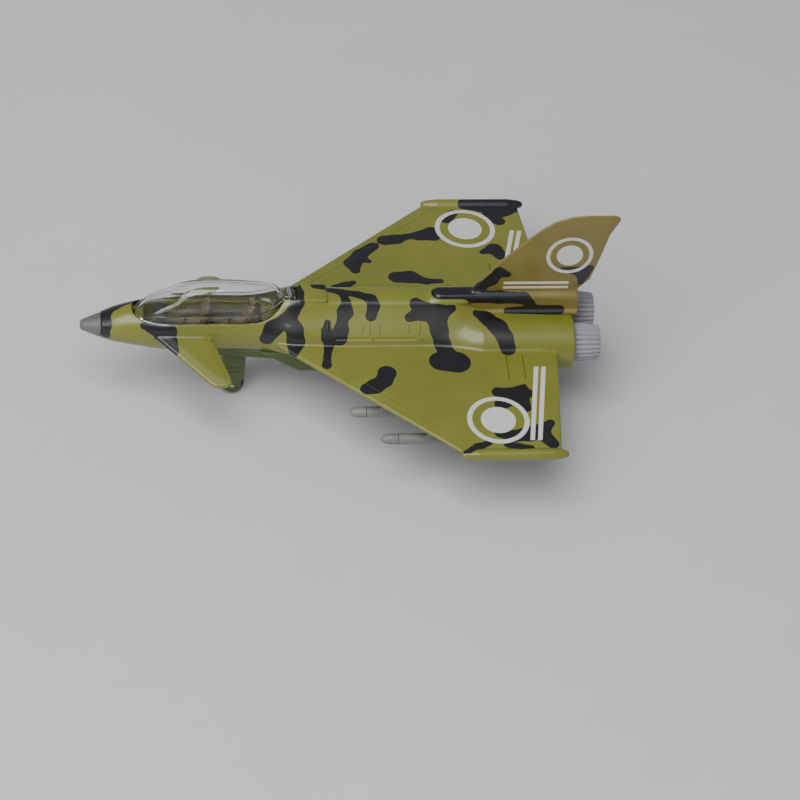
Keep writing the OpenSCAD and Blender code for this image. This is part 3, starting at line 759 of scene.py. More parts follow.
def wing(x, side, z):
    """One wing plate, drooping outward, thinner toward its edges."""
    plan = outline(
        x,
        side,
        [
            (at(WING_LE - 4), WING_ROOT_Y - 6),
            (at(WING_LE), WING_ROOT_Y),
            (at(WING_TIP_LE), POD_Y),
            (at(WING_TIP_TE), POD_Y),
            (at(WING_TE), WING_ROOT_Y + 3),
            (at(WING_TE), WING_ROOT_Y - 6),
        ],
    )
    middle_z = WING_MID - (side - WING_ROOT_Y) * ANHEDRAL
    out = np.clip((side - WING_ROOT_Y) / (POD_Y - WING_ROOT_Y), 0, 1)
    half = (1.5 - 0.45 * out) * (0.62 + 0.38 * eased(-plan, 0, 7))
    return slab(plan, np.abs(z - middle_z) - half, 0.75)


def wing_pod(x, side, z):
    """The slim rail on a wing tip."""
    middle_z = WING_MID - (POD_Y - WING_ROOT_Y) * ANHEDRAL
    front = at(WING_TIP_LE) + 1.5
    places = [front - 39, front - 38.4, front - 37, front - 33, front - 6, front - 2, front - 0.6, front]
    sizes = [0.7, 1.1, 1.6, POD_RADIUS, POD_RADIUS, 1.7, 1.2, 0.8]
    radius = np.interp(x, places, sizes)
    shell = np.hypot(side - POD_Y, z - middle_z) - radius
    return meet(shell, np.abs(x - front + 19.5) - 19.5, 0.5)


def canard(x, side, z):
    """One foreplane, drooping outward."""
    plan = outline(
        x,
        side,
        [
            (at(23.5), 6.5),
            (at(27.0), 9.3),
            (at(45.2), 28.0),
            (at(47.4), 29.6),
            (at(51.6), 29.6),
            (at(53.6), 28.2),
            (at(53.0), 25.5),
            (at(48.6), 13.0),
            (at(47.0), 10.6),
            (at(49.0), 6.5),
        ],
    )
    middle_z = 0.9 - 0.275 * (side - 9.0)
    half = 0.75 + 0.5 * eased(-plan, 0, 4)
    return slab(plan, np.abs(z - middle_z) - half, 0.7)


def nacelle(x, side, z):
    """One engine barrel, swelling out of the fuselage."""
    lip = NACELLE_LIP
    radius = np.interp(x, [lip, lip + 34, lip + 62, lip + 72], [9.6, 9.6, 5.2, -6])
    return np.hypot(side - NACELLE[0], z - NACELLE[1]) - radius


def fin_pod_plan(x, side, grow):
    """Distance in plan to the fin's root pod."""
    straight = slab(side - FIN_POD_HALF - grow, FIN_POD_REAR - x - grow, 0.01)
    nose = np.hypot(np.maximum(x - FIN_POD_FRONT + FIN_POD_HALF, 0), side) - FIN_POD_HALF - grow
    return np.maximum(straight, nose)


def casting(x, y, z):
    """The whole painted casting."""
    side = np.abs(y)
    shape = barrel(x, side, z)
    shape = join(shape, nacelle(x, side, z), 1.6)
    shape = meet(shape, NACELLE_LIP - x, 0.7)
    shape = meet(shape, x - at(7.4), 0.3)
    shape = join(shape, wing(x, side, z), 1.1)
    shape = join(shape, canard(x, side, z), 1.0)
    shape = join(shape, wing_pod(x, side, z), 0.8)
    # raised strip on the spine, behind the canopy
    strip = brick(x, side, z, ((at(79) + at(89)) / 2, 0, 9.4), (10, 9.0, 10.2), 0.6)
    shape = join(shape, strip, 0.35)
    # housing and socket round the fin's root pod
    collar = slab(fin_pod_plan(x, side, 1.7), np.abs(z - 5) - 8.6, 1.2)
    collar = meet(collar, at(142) - x, 4.0)
    shape = join(shape, collar, 1.2)
    socket = np.maximum(fin_pod_plan(x, side, 0.12), SADDLE - z)
    shape = cut(shape, socket, 0.35)
    # opening under the canopy, cockpit well and slot for the lug
    opening = np.maximum(outline(x, side, CANOPY_PLAN), SILL - 0.1 - z)
    shape = cut(shape, opening, 0.4)
    well = brick(x, side, z, ((at(23) + at(66)) / 2, 0, 8), (43, 10.8, 24), 1.2)
    shape = cut(shape, well, 0.3)
    slot = brick(x, side, z, (HINGE[0] + 1.6, 0, HINGE[2] + 4), (8.0, 5.8, 12.8), 0.3)
    shape = cut(shape, slot, 0.25)
    # nozzle bores
    bore = np.maximum(np.hypot(side - NACELLE[0], z - NACELLE[1]) - 5.6, x - NACELLE_LIP - 7)
    shape = cut(shape, bore, 0.2)
    # side gutter and the cut for the belly
    gutter = capsule(x, side, z, (at(92), 13.6, 3.6), (at(121), 13.7, 3.5), 0.35, 0.35)
    shape = cut(shape, gutter, 0.5)
    under = np.maximum(np.maximum(z - BELLY_TOP, x - BELLY_FRONT), BELLY_REAR - x)
    return cut(shape, under, 0.25)


CASTING_LINES = (
    spaced((at(183), 0.5), (at(6), 1)),
    np.concatenate(
        [
            -spaced((0.0, 0.42), (19.2, 0.8), (64.4, 0.45), (70.4, 1))[:0:-1],
            spaced((0.0, 0.42), (19.2, 0.8), (64.4, 0.45), (70.4, 1)),
        ]
    ),
    even(-13.6, 16.0, 0.42),
)


# ---- black patches, as rounded strokes of (station, y, z, radius) ----
PATCHES = [
    # round the nose and along its top
    [
        (8, -4, -1, 2.4), (9, -0.5, 4.5, 2.4), (13, -2.5, 6, 2),
        (17.5, -4, 6.5, 1.6), (22, -5.5, 6, 1.5),
    ],
    [(9, -0.5, 4.5, 2.4), (9.3, 3.2, 2.5, 2.4), (9.3, 4.4, -1, 2)],
    # side of the cockpit and root of the port foreplane
    [(22.5, 7, 5, 1.4), (26, 8, 4.5, 2.4), (31, 9, 3.5, 3.6)],
    [(28.5, 10, 1.5, 2.4), (31.5, 12, 1, 3), (32.8, 15, 0, 2.2)],
    # two legs behind the canopy
    [
        (78, -3, 13.5, 2.2), (78, 0.5, 14, 2.6), (78, 4.5, 13.5, 2.4),
        (76.5, 6.5, 11, 2.2), (74, 8.5, 8.5, 2.6),
    ],
    [(74, 8.5, 8.5, 2.6), (69, 10, 5.5, 3), (67, 11, 1.5, 2.6)],
    [(75, 8, 9, 2.4), (77, 11, 6, 3), (77.5, 13, 2, 3.2), (76.5, 17, 0.5, 2)],
    # stroke along the spine, hooked down to port
    [(85, -3.5, 14, 1.6), (94, -1, 13.7, 1.5), (100.5, 0.5, 13.7, 1.6), (105, 2.5, 13.5, 2)],
    [(105, 2.5, 13.5, 2), (106, 5, 12, 2.1), (105, 7.5, 9.5, 2.1)],
    # patch on the port side with its tail on the wing
    [(95, 1, 13.7, 1.4), (96, 4, 13, 1.5), (95.5, 6.5, 10.5, 2.9), (94.5, 8.5, 8.5, 1.8)],
    [(94.5, 8.5, 8.5, 1.8), (94, 11, 6, 2.6), (93.5, 13, 3.5, 2.4), (89, 13, 4, 2.2)],
    [(89, 9.5, 8, 1.3), (88.5, 11.5, 5.5, 1.6), (89, 13, 4, 2.2)],
    [(89.5, 14.5, 1.5, 1.9), (88.5, 19.5, 0.5, 1.2), (88, 23.5, 0, 1.9)],
    # leading edge of the port wing
    [(109.5, 28, 0, 3.5), (108, 32, 0, 2.9), (104.5, 34.5, 0, 3.2), (101.5, 35.5, -0.5, 2.6)],
    # over the spine ahead of the fin and down to port
    [(121.5, 4.5, 12.5, 2.4), (124.5, 6.5, 10.5, 3), (119, 8, 9, 1.7)],
    [(124.5, 6.5, 10.5, 3.2), (129.5, 7, 9.5, 3.6), (135, 5.5, 11, 1.4)],
    [(129, 7.5, 9, 3.8), (130, 11.5, 5.5, 3.2), (131, 14.5, 2, 2.8), (132.5, 18, 1, 3.2)],
    [(130, 22.5, 0.5, 4.6), (135.5, 23, 0.5, 5.2)],
    # stripe round the port engine
    [
        (144, 5.5, 8.5, 1.4), (148, 7, 7.5, 3), (151.5, 10.5, 6.5, 3.4),
        (154, 14.5, 4.5, 2.9), (155, 17, 1.5, 2.9),
    ],
    # outer port wing
    [(149, 38, -0.5, 2.4), (154, 38.5, -0.5, 2.5), (157.5, 38, -0.5, 3), (161.5, 39, -0.5, 1.5)],
    [(157.5, 38, -0.5, 2.2), (159, 35, 0, 0.9)],
    [(157, 39.5, -0.5, 2.8), (149.5, 44, -0.5, 2.6)],
    [(157.5, 40, -0.5, 2.4), (158.5, 46, -1, 1.8)],
    [
        (147.5, 58, -1.5, 2.2), (152, 59.5, -1.5, 2.6), (158, 58.5, -1.5, 3.4),
        (163, 56.5, -1.5, 2.8), (166.5, 53, -1.5, 1.6),
    ],
    [(163, 59, -1.5, 3), (166, 63, -2, 2.4)],
    [(143, 62.5, -2, 1.2), (138.5, 64.5, -2, 1.6), (134.5, 67, -1.5, 1.6)],
    [(149, 63.5, -2, 1), (154, 65, -2.5, 1.8), (158, 65, -2, 1.2)],
    # starboard wing
    [
        (111.5, -41.5, -0.5, 2.4), (106.5, -37, -0.5, 2.8),
        (103, -31.5, 0, 3.2), (103.5, -27, 0.5, 1.8),
    ],
    [(106, -34.5, 0, 2), (109, -32.5, 0, 1.2)],
    [
        (116.5, -45, -1, 3), (121, -45.5, -1, 2.6), (125, -47, -1, 1.5),
        (130, -47.5, -1, 2.6), (134.5, -48.5, -1, 4.2),
    ],
    [
        (118.5, -23, 0.5, 3.2), (123.5, -23, 0.5, 3.4),
        (129, -20.5, 0.5, 1.7), (134.5, -20.5, 0.5, 1.3),
    ],
    [(149, -66, -1.5, 2.6), (156, -65.5, -2, 4), (162.5, -63.5, -2, 4.6), (168, -65.5, -2.5, 3.4)],
    [(158, -58.5, -1.5, 3.2), (161, -56, -1.5, 2.4)],
    [(141, -57.5, -1.5, 2.6), (144, -61, -2, 2)],
    [(152.5, -37.5, -0.5, 1.3), (157, -39.5, -0.5, 2.8), (159, -35.5, 0, 2.6)],
    [(95, -17, 1, 1.8), (99, -18.5, 0.5, 1.8), (102, -20, 0.5, 1.2)],
    # starboard side, out of sight from port
    [(22, -7, 4, 1.6), (27, -9, 2, 2.8), (33, -9.5, 1, 2), (36, -12, 0.5, 2.4)],
    [(48, -9.5, 4, 2), (54, -9.5, 0, 3.2), (58, -9, -4, 2.2)],
    [(76, -7, 11, 2.4), (78, -11, 6, 3), (74, -12, 2, 3.2), (79, -15, 1, 2.2)],
    [(104, -6, 11, 2), (108, -9, 8, 3), (107, -12.5, 4, 2.4), (112, -15, 1.5, 2)],
    [(131, -6, 10, 2.4), (135, -9, 8, 3), (133, -13, 4, 3), (137, -16, 1, 2.2)],
    [(152, -8, 6.5, 2.2), (157, -12, 5.5, 3), (158, -16.5, 2, 3), (163, -18, -2, 2)],
    [(170, -10, 6, 2), (174, -13, 5, 2.6)],
]


def patch_distance(points, strokes):
    """Distance to the nearest painted stroke, negative inside."""
    nearest = np.full(len(points), 99.0)
    x, y, z = points.T
    for stroke in strokes:
        ends = stroke if len(stroke) > 1 else stroke * 2
        for (s0, y0, z0, r0), (s1, y1, z1, r1) in zip(ends, ends[1:]):
            away = capsule(x, y, z, (at(s0), y0, z0), (at(s1), y1, z1), r0, r1)
            nearest = join(nearest, away, 1.2)
    return nearest


def paint_patches(piece, strokes, mirrored=False):
    """Keeps each point's distance to the black patches on the mesh."""
    count = len(piece.data.vertices)
    place = np.zeros(count * 3)
    piece.data.vertices.foreach_get("co", place)
    points = place.reshape(-1, 3) / MM - [0, 0, AXIS]
    if mirrored:
        points[:, 1] = np.abs(points[:, 1])
    store = piece.data.attributes.new("patch", "FLOAT", "POINT")
    store.data.foreach_set("value", patch_distance(points, strokes).astype(np.float32))


def add(piece, body, slot, *nodes):
    """A finished piece rides on a body and stands for frame nodes; the slot is not used."""
    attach(piece, body)
    if nodes:
        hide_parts(*nodes)
    return piece


body = moulded("casting", casting, CASTING_LINES, CAMO)
paint_patches(body, PATCHES)
add(body, "airframe", "camo_paint", "upper_body")


def box_lines(low, high, step):
    """Grid lines round a box, with a margin."""
    return tuple(even(a - 1.5 * step, b + 1.5 * step, step) for a, b in zip(low, high))


# ---- raised ribs and rivets on the fuselage sides ----
def surface_reach(station, angle):
    """Point on the fuselage at a station and an angle above level."""
    x = at(station)
    angle = math.radians(angle)
    near, far = 0.0, 30.0
    for _ in range(30):
        size = (near + far) / 2
        side, up = size * math.cos(angle), size * math.sin(angle)
        if casting(np.array([x]), np.array([side]), np.array([up]))[0] < 0:
            near = size
        else:
            far = size
    return np.array([x, size * math.cos(angle), size * math.sin(angle)])


# ribs as (station, top angle, foot angle), rivets as (station, angle)
RIBS = (
    (89.1, 38, 26),
    (101.7, 33, 25),
    (104.2, 39, 23),
    (107.6, 38, 22),
    (118.5, 33, 24),
    (122.5, 43, 22),
)
RIVETS = ((90.3, 19), (105.4, 13.5), (123.5, 13.5), (86.5, 30))


def side_details():
    """Short upright ribs and a few rivets, on both sides."""
    strokes = []
    for station, top, foot in RIBS:
        strokes.append((surface_reach(station, top), surface_reach(station, foot), 0.45))
    for station, angle in RIVETS:
        spot = surface_reach(station, angle)
        strokes.append((spot, spot + [0.01, 0, 0], 0.5))
    for name, side in (("side_ribs_port", 1), ("side_ribs_starboard", -1)):
        parts = []
        for start, end, radius in strokes:
            low = np.minimum(start, end) - radius
            high = np.maximum(start, end) + radius

            def rib(x, y, z):
                return capsule(x, y, z, start, end, radius, radius)

            parts.append(surface_net(rib, *box_lines(low, high, 0.16)))
        points = np.concatenate([p for p, _ in parts]) * [1, side, 1]
        offsets = np.cumsum([0] + [len(p) for p, _ in parts])
        faces = np.concatenate([f + o for (_, f), o in zip(parts, offsets)])
        piece = new_mesh(name, points, faces, CAMO)
        soften(piece, 80)
        paint_patches(piece, PATCHES)
        add(piece, "airframe", "camo_paint")


side_details()


# ---- nose cone ----
def nose_cone():
    """Grey plugged cone with a blunt tip."""
    profile = [
        (at(7.4) + 0.05, 0.0),
        (at(7.4) + 0.05, 4.35),
        (at(6.9), 4.4),
        (at(3.7), 3.2),
        (at(0.6), 1.95),
        (NOSE, 1.3),
        (NOSE, 0.0),
    ]
    cone = turned("cone", rounded_profile(profile, 0.5), (0, 0, -CONE_DROP), "x", CONE_GREY)
    add(cone, "airframe", "cone_grey", "nose_cone")


nose_cone()


# ---- canopy ----
CANOPY_WALL = 1.1
BOW = 17.0


def canopy_ring(along, inset):
    """One ring of the clear moulding from foot over the dome to foot, as (y, z)."""
    half = max(float(canopy_half(along)) - inset, 0.02)
    top = float(canopy_top(along)) - inset
    ledge = float(canopy_ledge(along)) - 0.6 * inset
    top = max(top, ledge + 0.3)
    shelf = min(0.8, 0.3 * half)
    foot = SILL + 0.1
    bow = 0.3 * math.exp(-(((along - BOW) / 0.8) ** 2)) if inset == 0 else 0.0
    ring = [(half, foot), (half, foot + 0.35 * (ledge - foot)), (half - 0.25 * shelf, ledge - 0.35)]
    ring += [(half - 0.4 * shelf, ledge), (half - 0.9 * shelf, ledge + 0.12)]
    steps = 26
    for n in range(steps + 1):
        angle = math.pi * n / steps
        wide = math.copysign(abs(math.cos(angle)) ** 0.92, math.cos(angle))
        tall = max(math.sin(angle), 0.0) ** 0.95
        rise = bow * tall
        ring.append(((half - shelf + rise) * wide, ledge + 0.15 + (top - ledge - 0.15 + rise) * tall))
    port = ring[:5]
    return ring + [(-u, v) for u, v in reversed(port)]


def canopy_shell():
    """Clear one-piece canopy with real thickness, a ledge, a bow line and a hinge lug."""
    count = 90
    surfaces = []
    for inset in (0.0, CANOPY_WALL):
        rings = []
        for n in range(count + 1):
            share = 0.5 - 0.5 * math.cos(math.pi * n / count)
            along = CANOPY_LENGTH * share
            x = CANOPY_FRONT - inset - (CANOPY_LENGTH - 2 * inset) * share
            rings.append([(x, u, v) for u, v in canopy_ring(along, inset)])
        surfaces.append(rings)
    outer, inner = surfaces
    width = len(outer[0])
    total = (count + 1) * width
    points = [p for rings in surfaces for ring in rings for p in ring]
    faces = []
    for k in range(count):
        for n in range(width - 1):
            a = k * width + n
            b = a + width
            faces.append((a, a + 1, b + 1, b))
            faces.append((total + a, total + b, total + b + 1, total + a + 1))
        for edge in (0, width - 1):
            a = k * width + edge
            b = a + width
            faces.append((a, b, total + b, total + a))
    for ring_start in (0, count * width):
        for n in range(width - 1):
            a = ring_start + n
            faces.append((a, a + 1, total + a + 1, total + a))
    shell = new_mesh("canopy_shell", points, faces, CLEAR)
    soften(shell, 50)
    add(shell, "canopy_body", "clear_canopy", "canopy")

    def lug(x, y, z):
        eye = slab(np.hypot(x - HINGE[0], z - HINGE[2]) - 2.0, np.abs(y) - 2.5, 0.4)
        reach = CANOPY_FRONT - CANOPY_LENGTH + 0.3 - HINGE[0]
        arm = brick(x, y, z, (HINGE[0] + reach / 2, 0, HINGE[2]), (reach, 5.0, 3.8), 0.4)
        whole = join(eye, arm, 0.5)
        return cut(whole, np.hypot(x - HINGE[0], z - HINGE[2]) - 0.86, 0.15)

    low = HINGE - [2.2, 2.7, 2.2]
    high = HINGE + [4.0, 2.7, 2.2]
    piece = moulded("canopy_lug", lug, box_lines(low, high, 0.22), CLEAR, 0.12)
    add(piece, "canopy_body", "clear_canopy")


canopy_shell()


# ---- cockpit ----
TUB_FRONT, TUB_REAR = 26.1, 65.9
FLOOR = box_mm("cockpit_insert")[0][2] - AXIS + 2.4
SEATS = (45.0, 61.5)
PANELS = (29.4, 47.0)


def tub(x, y, z):
    """Floor, side consoles with knobs, and a hump on the floor."""
    side = np.abs(y)
    mid = (at(TUB_FRONT) + at(TUB_REAR)) / 2
    shape = brick(x, side, z, (mid, 0, FLOOR - 1.2), (TUB_REAR - TUB_FRONT, 10.6, 2.4), 0.2)
    console = brick(x, side, z, (at(47.5), 4.45, FLOOR + 1.8), (33, 1.5, 4.0), 0.35)
    shape = join(shape, console, 0.3)
    for station in (36, 39, 53, 56):
        knob = brick(x, side, z, (at(station), 4.4, FLOOR + 3.9), (1.6, 0.8, 0.8), 0.25)
        shape = join(shape, knob, 0.15)
    hump = brick(x, side, z, (at(38), 0, FLOOR + 0.4), (9, 1.8, 2.4), 0.6)
    return join(shape, hump, 0.4)


def seat(station):
    """Distance to one seat with its back leaning aft."""
    foot = at(station)

    def shape(x, y, z):
        side = np.abs(y)
        pan = brick(x, side, z, (foot + 2.6, 0, FLOOR + 1.6), (5.6, 5.0, 3.4), 0.7)
        rise = z - FLOOR - 3
        lean = x - foot + 0.14 * rise
        back = brick(lean, side, z, (0.3, 0, FLOOR + 6.6), (1.9, 4.8, 8.2), 0.7)
        wings = brick(lean, side, z, (1.0, 2.35, FLOOR + 6.4), (2.2, 0.9, 6.6), 0.4)
        head = brick(lean, side, z, (0.5, 0, FLOOR + 11.4), (2.2, 3.2, 2.8), 0.7)
        whole = join(join(pan, back, 0.6), join(wings, head, 0.3), 0.4)
        pleats = np.abs(np.mod(z - FLOOR, 1.9) - 0.95) - 0.14
        groove = np.maximum(pleats, np.maximum(side - 1.5, 0.75 - lean))
        return cut(whole, np.maximum(groove, FLOOR + 3.6 - z), 0.2)

    return shape


def panel(station):
    """Distance to one instrument panel with a hood."""

    def shape(x, y, z):
        side = np.abs(y)
        centre = (at(station) + 0.9, 0, FLOOR + 3.4)
        board = brick(x + 0.25 * (z - FLOOR), side, z, centre, (1.5, 9.2, 6.8), 0.4)
        hood = brick(x, side, z, (at(station) + 0.6, 0, FLOOR + 7.5), (3.4, 7.6, 1.4), 0.6)
        whole = join(board, hood, 0.4)
        for place in ((0.0, 5.0), (2.3, 5.0), (2.3, 2.8), (0.0, 2.6)):
            lean = x + 0.25 * (z - FLOOR) - at(station) - 0.15
            dial = np.hypot(side - place[0], z - FLOOR - place[1]) - 0.85
            whole = cut(whole, np.maximum(dial, np.abs(lean) - 0.35), 0.15)
        return whole

    return shape


def stick(station):
    """Distance to one control stick."""

    def shape(x, y, z):
        stem = capsule(x, y, z, (at(station), 0, FLOOR), (at(station) - 0.6, 0, FLOOR + 3.6), 0.35, 0.3)
        foot = (at(station) - 0.6, 0, FLOOR + 3.4)
        grip = capsule(x, y, z, foot, (at(station) - 0.5, 0, FLOOR + 4.8), 0.6, 0.5)
        return join(stem, grip, 0.3)

    return shape


def cockpit():
    """Tub, two seats, two panels and two sticks."""
    low = (at(TUB_REAR), -5.4, FLOOR - 2.4)
    high = (at(TUB_FRONT), 5.4, FLOOR + 4.6)
    piece = moulded("cockpit_tub", tub, box_lines(low, high, 0.34), COCKPIT_BROWN, 0.15)
    add(piece, "airframe", "cockpit_plastic", "cockpit_insert")
    for name, station in zip(("front", "rear"), SEATS):
        low = (at(station) - 2.6, -3, FLOOR - 0.3)
        high = (at(station) + 5.6, 3, FLOOR + 13.0)
        piece = moulded("seat_" + name, seat(station), box_lines(low, high, 0.26), COCKPIT_SEAT, 0.12)
        add(piece, "airframe", "cockpit_plastic")
    for name, station in zip(("front", "rear"), PANELS):
        low = (at(station) - 2.4, -4.8, FLOOR - 0.3)
        high = (at(station) + 2.6, 4.8, FLOOR + 8.4)
        piece = moulded("panel_" + name, panel(station), box_lines(low, high, 0.26), COCKPIT_DARK, 0.12)
        add(piece, "airframe", "cockpit_plastic")
    for name, station in (("front", 37.5), ("rear", 54.0)):
        low = (at(station) - 1.4, -0.8, FLOOR - 0.4)
        high = (at(station) + 0.8, 0.8, FLOOR + 5.4)
        piece = moulded("stick_" + name, stick(station), box_lines(low, high, 0.18), COCKPIT_DARK, 0.1)
        add(piece, "airframe", "cockpit_plastic")


cockpit()


# ---- fin ----
FIN_OUTLINE = [
    (142.3, 12.0),
    (142.3, 15.7),
    (151.2, 29.0),
    (161.1, 40.0),
    (165.4, 44.6),
    (170.0, 48.2),
    (175.5, 50.3),
    (181.0, 50.9),
    (191.6, 50.9),
    (193.4, 50.0),
    (193.7, 48.6),
    (190.6, 42.0),
    (188.0, 30.0),
    (185.5, 20.2),
    (181.4, 15.5),
    (181.4, 12.0),
]


def fin(x, y, z):
    """Blade, root pod with a round nose, and the flare along its foot."""
    side = np.abs(y)
    plan = outline(x, z, [(at(s), h + FIN_TOP - 50.8) for s, h in FIN_OUTLINE])
    up = np.clip((z - 14) / 36, 0, 1)
    half = (1.25 - 0.35 * up) * (0.55 + 0.45 * eased(-plan, 0, 6))
    blade = slab(plan, side - half, 0.75)
    pod = slab(fin_pod_plan(x, side, 0.0), np.abs(z - 10.1) - 4.5, 1.5)
    flare = slab(fin_pod_plan(x + 14.6, side, 1.1), np.abs(z - 6.6) - 1.0, 0.8)
    flare = np.maximum(flare, FIN_POD_REAR - x)
    shape = join(pod, flare, 1.0)
    return join(shape, blade, 1.6)


FIN_PATCHES = [
    [(127.5, 0, 12, 2.6), (130.5, 2.8, 13.7, 2.4), (141.5, 2.6, 14, 2.6), (152.5, 2.9, 13.6, 2.6)],
    [(152.5, 2.9, 13.6, 2.6), (161.5, 3, 13, 2.4), (164.5, 3, 11, 1.4)],
    [(133, 0, 15, 1.8), (141, 0, 15, 2.4)],
    [(144.5, 0.7, 16.5, 1.8), (149, 0.9, 20.5, 2.2), (151.5, 0.9, 24.5, 2), (154.5, 1, 23.5, 1.4)],
    [(184.5, 0.8, 26, 1.7), (182.5, 1, 23, 2.3), (182, 0.8, 19, 1.2)],
    [(174.5, 1, 26, 1), (180.5, 1, 25, 2.3)],
    [(156, 3.5, 7.5, 1.6), (166, 3.4, 8, 2), (175, 3.4, 8, 2)],
]


def fin_piece():
    low = (FIN_REAR, -4.2, SADDLE)
    high = (FIN_POD_FRONT, 4.2, FIN_TOP)
    lines = (
        even(low[0] - 1, high[0] + 1, 0.42),
        even(-4.8, 4.8, 0.3),
        even(low[2] - 0.7, high[2] + 1, 0.42),
    )
    piece = moulded("fin_blade", fin, lines, FIN_PAINT, 0.2)
    paint_patches(piece, FIN_PATCHES, True)
    add(piece, "airframe", "fin_plastic", "fin")


fin_piece()


# ---- nozzles ----
FLUTES = 22


def nozzle(name, side, node):
    """Pale fluted nozzle, hollow, with a blunt cone inside."""
    profile = [
        (TAIL + 5.0, 0.0),
        (TAIL + 7.0, 1.6),
        (TAIL + 7.6, 1.7),
        (TAIL + 7.6, 4.4),
        (TAIL + 4.5, 4.9),
        (TAIL, 5.5),
        (TAIL, 6.1),
        (TAIL + 1.0, 6.45),
        (TAIL + 5.5, 7.0),
        (TAIL + 9.9, 7.0),
        (TAIL + 9.9, 0.0),
    ]

    def flute(along, radius, angle):
        if radius < 5.9 or along > TAIL + 9.6:
            return radius
        wave = 0.5 + 0.5 * math.cos(FLUTES * angle)
        return radius - 0.62 * wave**3

    centre = (0, side * NACELLE[0], NACELLE[1])
    piece = turned(name, rounded_profile(profile, 0.4), centre, "x", PALE_GREY, FLUTES * 12, flute)
    add(piece, "airframe", "pale_grey", node)


nozzle("nozzle_fluted_port", 1, "nozzle_port")
nozzle("nozzle_fluted_starboard", -1, "nozzle_starboard")


# ---- missiles with their rails ----
MISSILE_RADIUS = 2.0
MISSILE_LENGTH = 38.0
MISSILE_LEAD = {"inner": 3.4, "outer": 8.8}


def missile(name, node):
    """One missile: blunt nose, bands, four tail fins and the rail up to the wing."""
    low, high = box_mm(node)
    tip = high[0]
    centre_y = (low[1] + high[1]) / 2
    centre_z = low[2] - AXIS + 2.83
    side = abs(centre_y)
    rail_x = tip - MISSILE_LEAD[name.split("_")[-1]] - 15.0
    out = (side - WING_ROOT_Y) / (POD_Y - WING_ROOT_Y)
    under = WING_MID - (side - WING_ROOT_Y) * ANHEDRAL - 1.5 + 0.45 * out + 0.5

    def shape(x, y, z):
        across = y - centre_y
        up = z - centre_z
        aft = tip - x
        away = np.hypot(across, up)
        radius = MISSILE_RADIUS * np.sqrt(np.clip(1 - (1 - np.clip(aft / 4.6, 0, 1)) ** 2.4, 0.0001, 1))
        radius = radius - 0.35 * eased(aft, MISSILE_LENGTH - 1.8, MISSILE_LENGTH)
        tube = meet(away - radius, np.abs(aft - MISSILE_LENGTH / 2) - MISSILE_LENGTH / 2, 0.3)
        for place in (6.5, 26.0):
            tube = cut(tube, np.maximum(np.abs(aft - place) - 0.22, MISSILE_RADIUS - 0.22 - away), 0.1)
        one = np.abs(across - up) / math.sqrt(2)
        other = np.abs(across + up) / math.sqrt(2)
        blade = np.minimum(one, other) - 0.34
        sweep = (aft - MISSILE_LENGTH + 7.4) * 0.55
        reach = away - np.minimum(MISSILE_RADIUS + 1.5, MISSILE_RADIUS + sweep)
        tail = slab(blade, np.maximum(reach, np.abs(aft - MISSILE_LENGTH + 4) - 3.4), 0.2)
        whole = join(tube, tail, 0.3)
        height = under - centre_z
        foot = brick(x, across, up, (rail_x, 0, height / 2), (14, 2.0, height), 0.4)
        shoe = brick(x, across, up, (rail_x, 0, height - 0.6), (17, 2.6, 1.4), 0.4)
        return join(whole, join(foot, shoe, 0.4), 0.35)

    low = (tip - MISSILE_LENGTH, centre_y - 3.1, centre_z - 3.1)
    high = (tip, centre_y + 3.1, under)
    piece = moulded(name, shape, box_lines(low, high, 0.3), STORE_GREY, 0.14)
    add(piece, "airframe", "pale_grey", node)


for wing_side in ("port", "starboard"):
    for post in ("inner", "outer"):
        missile(f"store_{wing_side}_{post}", f"missile_{wing_side}_{post}")


# ---- belly ----
TRUNK_HALF = 11.0
TRUNK_BOTTOM = box_mm("belly")[0][2] - AXIS
LIP = np.array([at(68), -7.2])
LIP_RUN = np.array([-14.0, -8.8]) / math.hypot(14.0, 8.8)
SCREW_Z = box_mm("belly_screws")[0][2] - AXIS
SCREW_STATIONS = (92, 124)


def belly(x, y, z):
    """Moulded lower half: nose bay, intake trunk with two mouths, and screw wells."""
    side = np.abs(y)
    shape = join(barrel(x, side, z), nacelle(x, side, z), 1.6)
    # bay round the nose leg
    bay_half = np.interp(x, [at(74), at(62), at(50), at(44)], [8.4, 7.0, 6.2, 4.6])
    bay_floor = np.interp(x, [at(70), at(52), at(47), at(44)], [-12.4, -12.0, -10.6, -9.0])
    bay = slab(side - bay_half, np.abs(z + 4) - np.abs(bay_floor + 4), 2.2)
    bay = np.maximum(np.maximum(bay, x - BELLY_FRONT), at(76) - x)
    shape = join(shape, bay, 1.5)
    # intake trunk
    floor_z = np.interp(x, [BELLY_REAR, TAIL + 58], [-11.6, TRUNK_BOTTOM])
    half = np.interp(x, [BELLY_REAR, TAIL + 58], [TRUNK_HALF + 1, TRUNK_HALF])
    trunk = slab(side - half, np.abs(z + 4) - np.abs(floor_z + 4), 2.4)
    forward = (x - LIP[0]) * -LIP_RUN[1] + (z - LIP[1]) * LIP_RUN[0]
    down = (x - LIP[0]) * LIP_RUN[0] + (z - LIP[1]) * LIP_RUN[1]
    trunk = meet(trunk, forward, 0.7)
    shape = join(shape, trunk, 0.8)
    mouth = slab(np.abs(side - 5.4) - 4.1, np.abs(down - 10.4) - 3.6, 0.9)
    mouth = np.maximum(mouth, -9 - forward)
    mouth = np.maximum(mouth, z + 7.2)
    shape = cut(shape, mouth, 0.35)
    for station in SCREW_STATIONS:
        well = np.maximum(np.hypot(x - at(station), side) - 2.4, z - SCREW_Z)
        shape = cut(shape, well, 0.3)
    top = np.maximum(z - BELLY_TOP + 0.06, np.maximum(x - BELLY_FRONT + 0.06, BELLY_REAR + 0.06 - x))
    return meet(shape, top, 0.3)


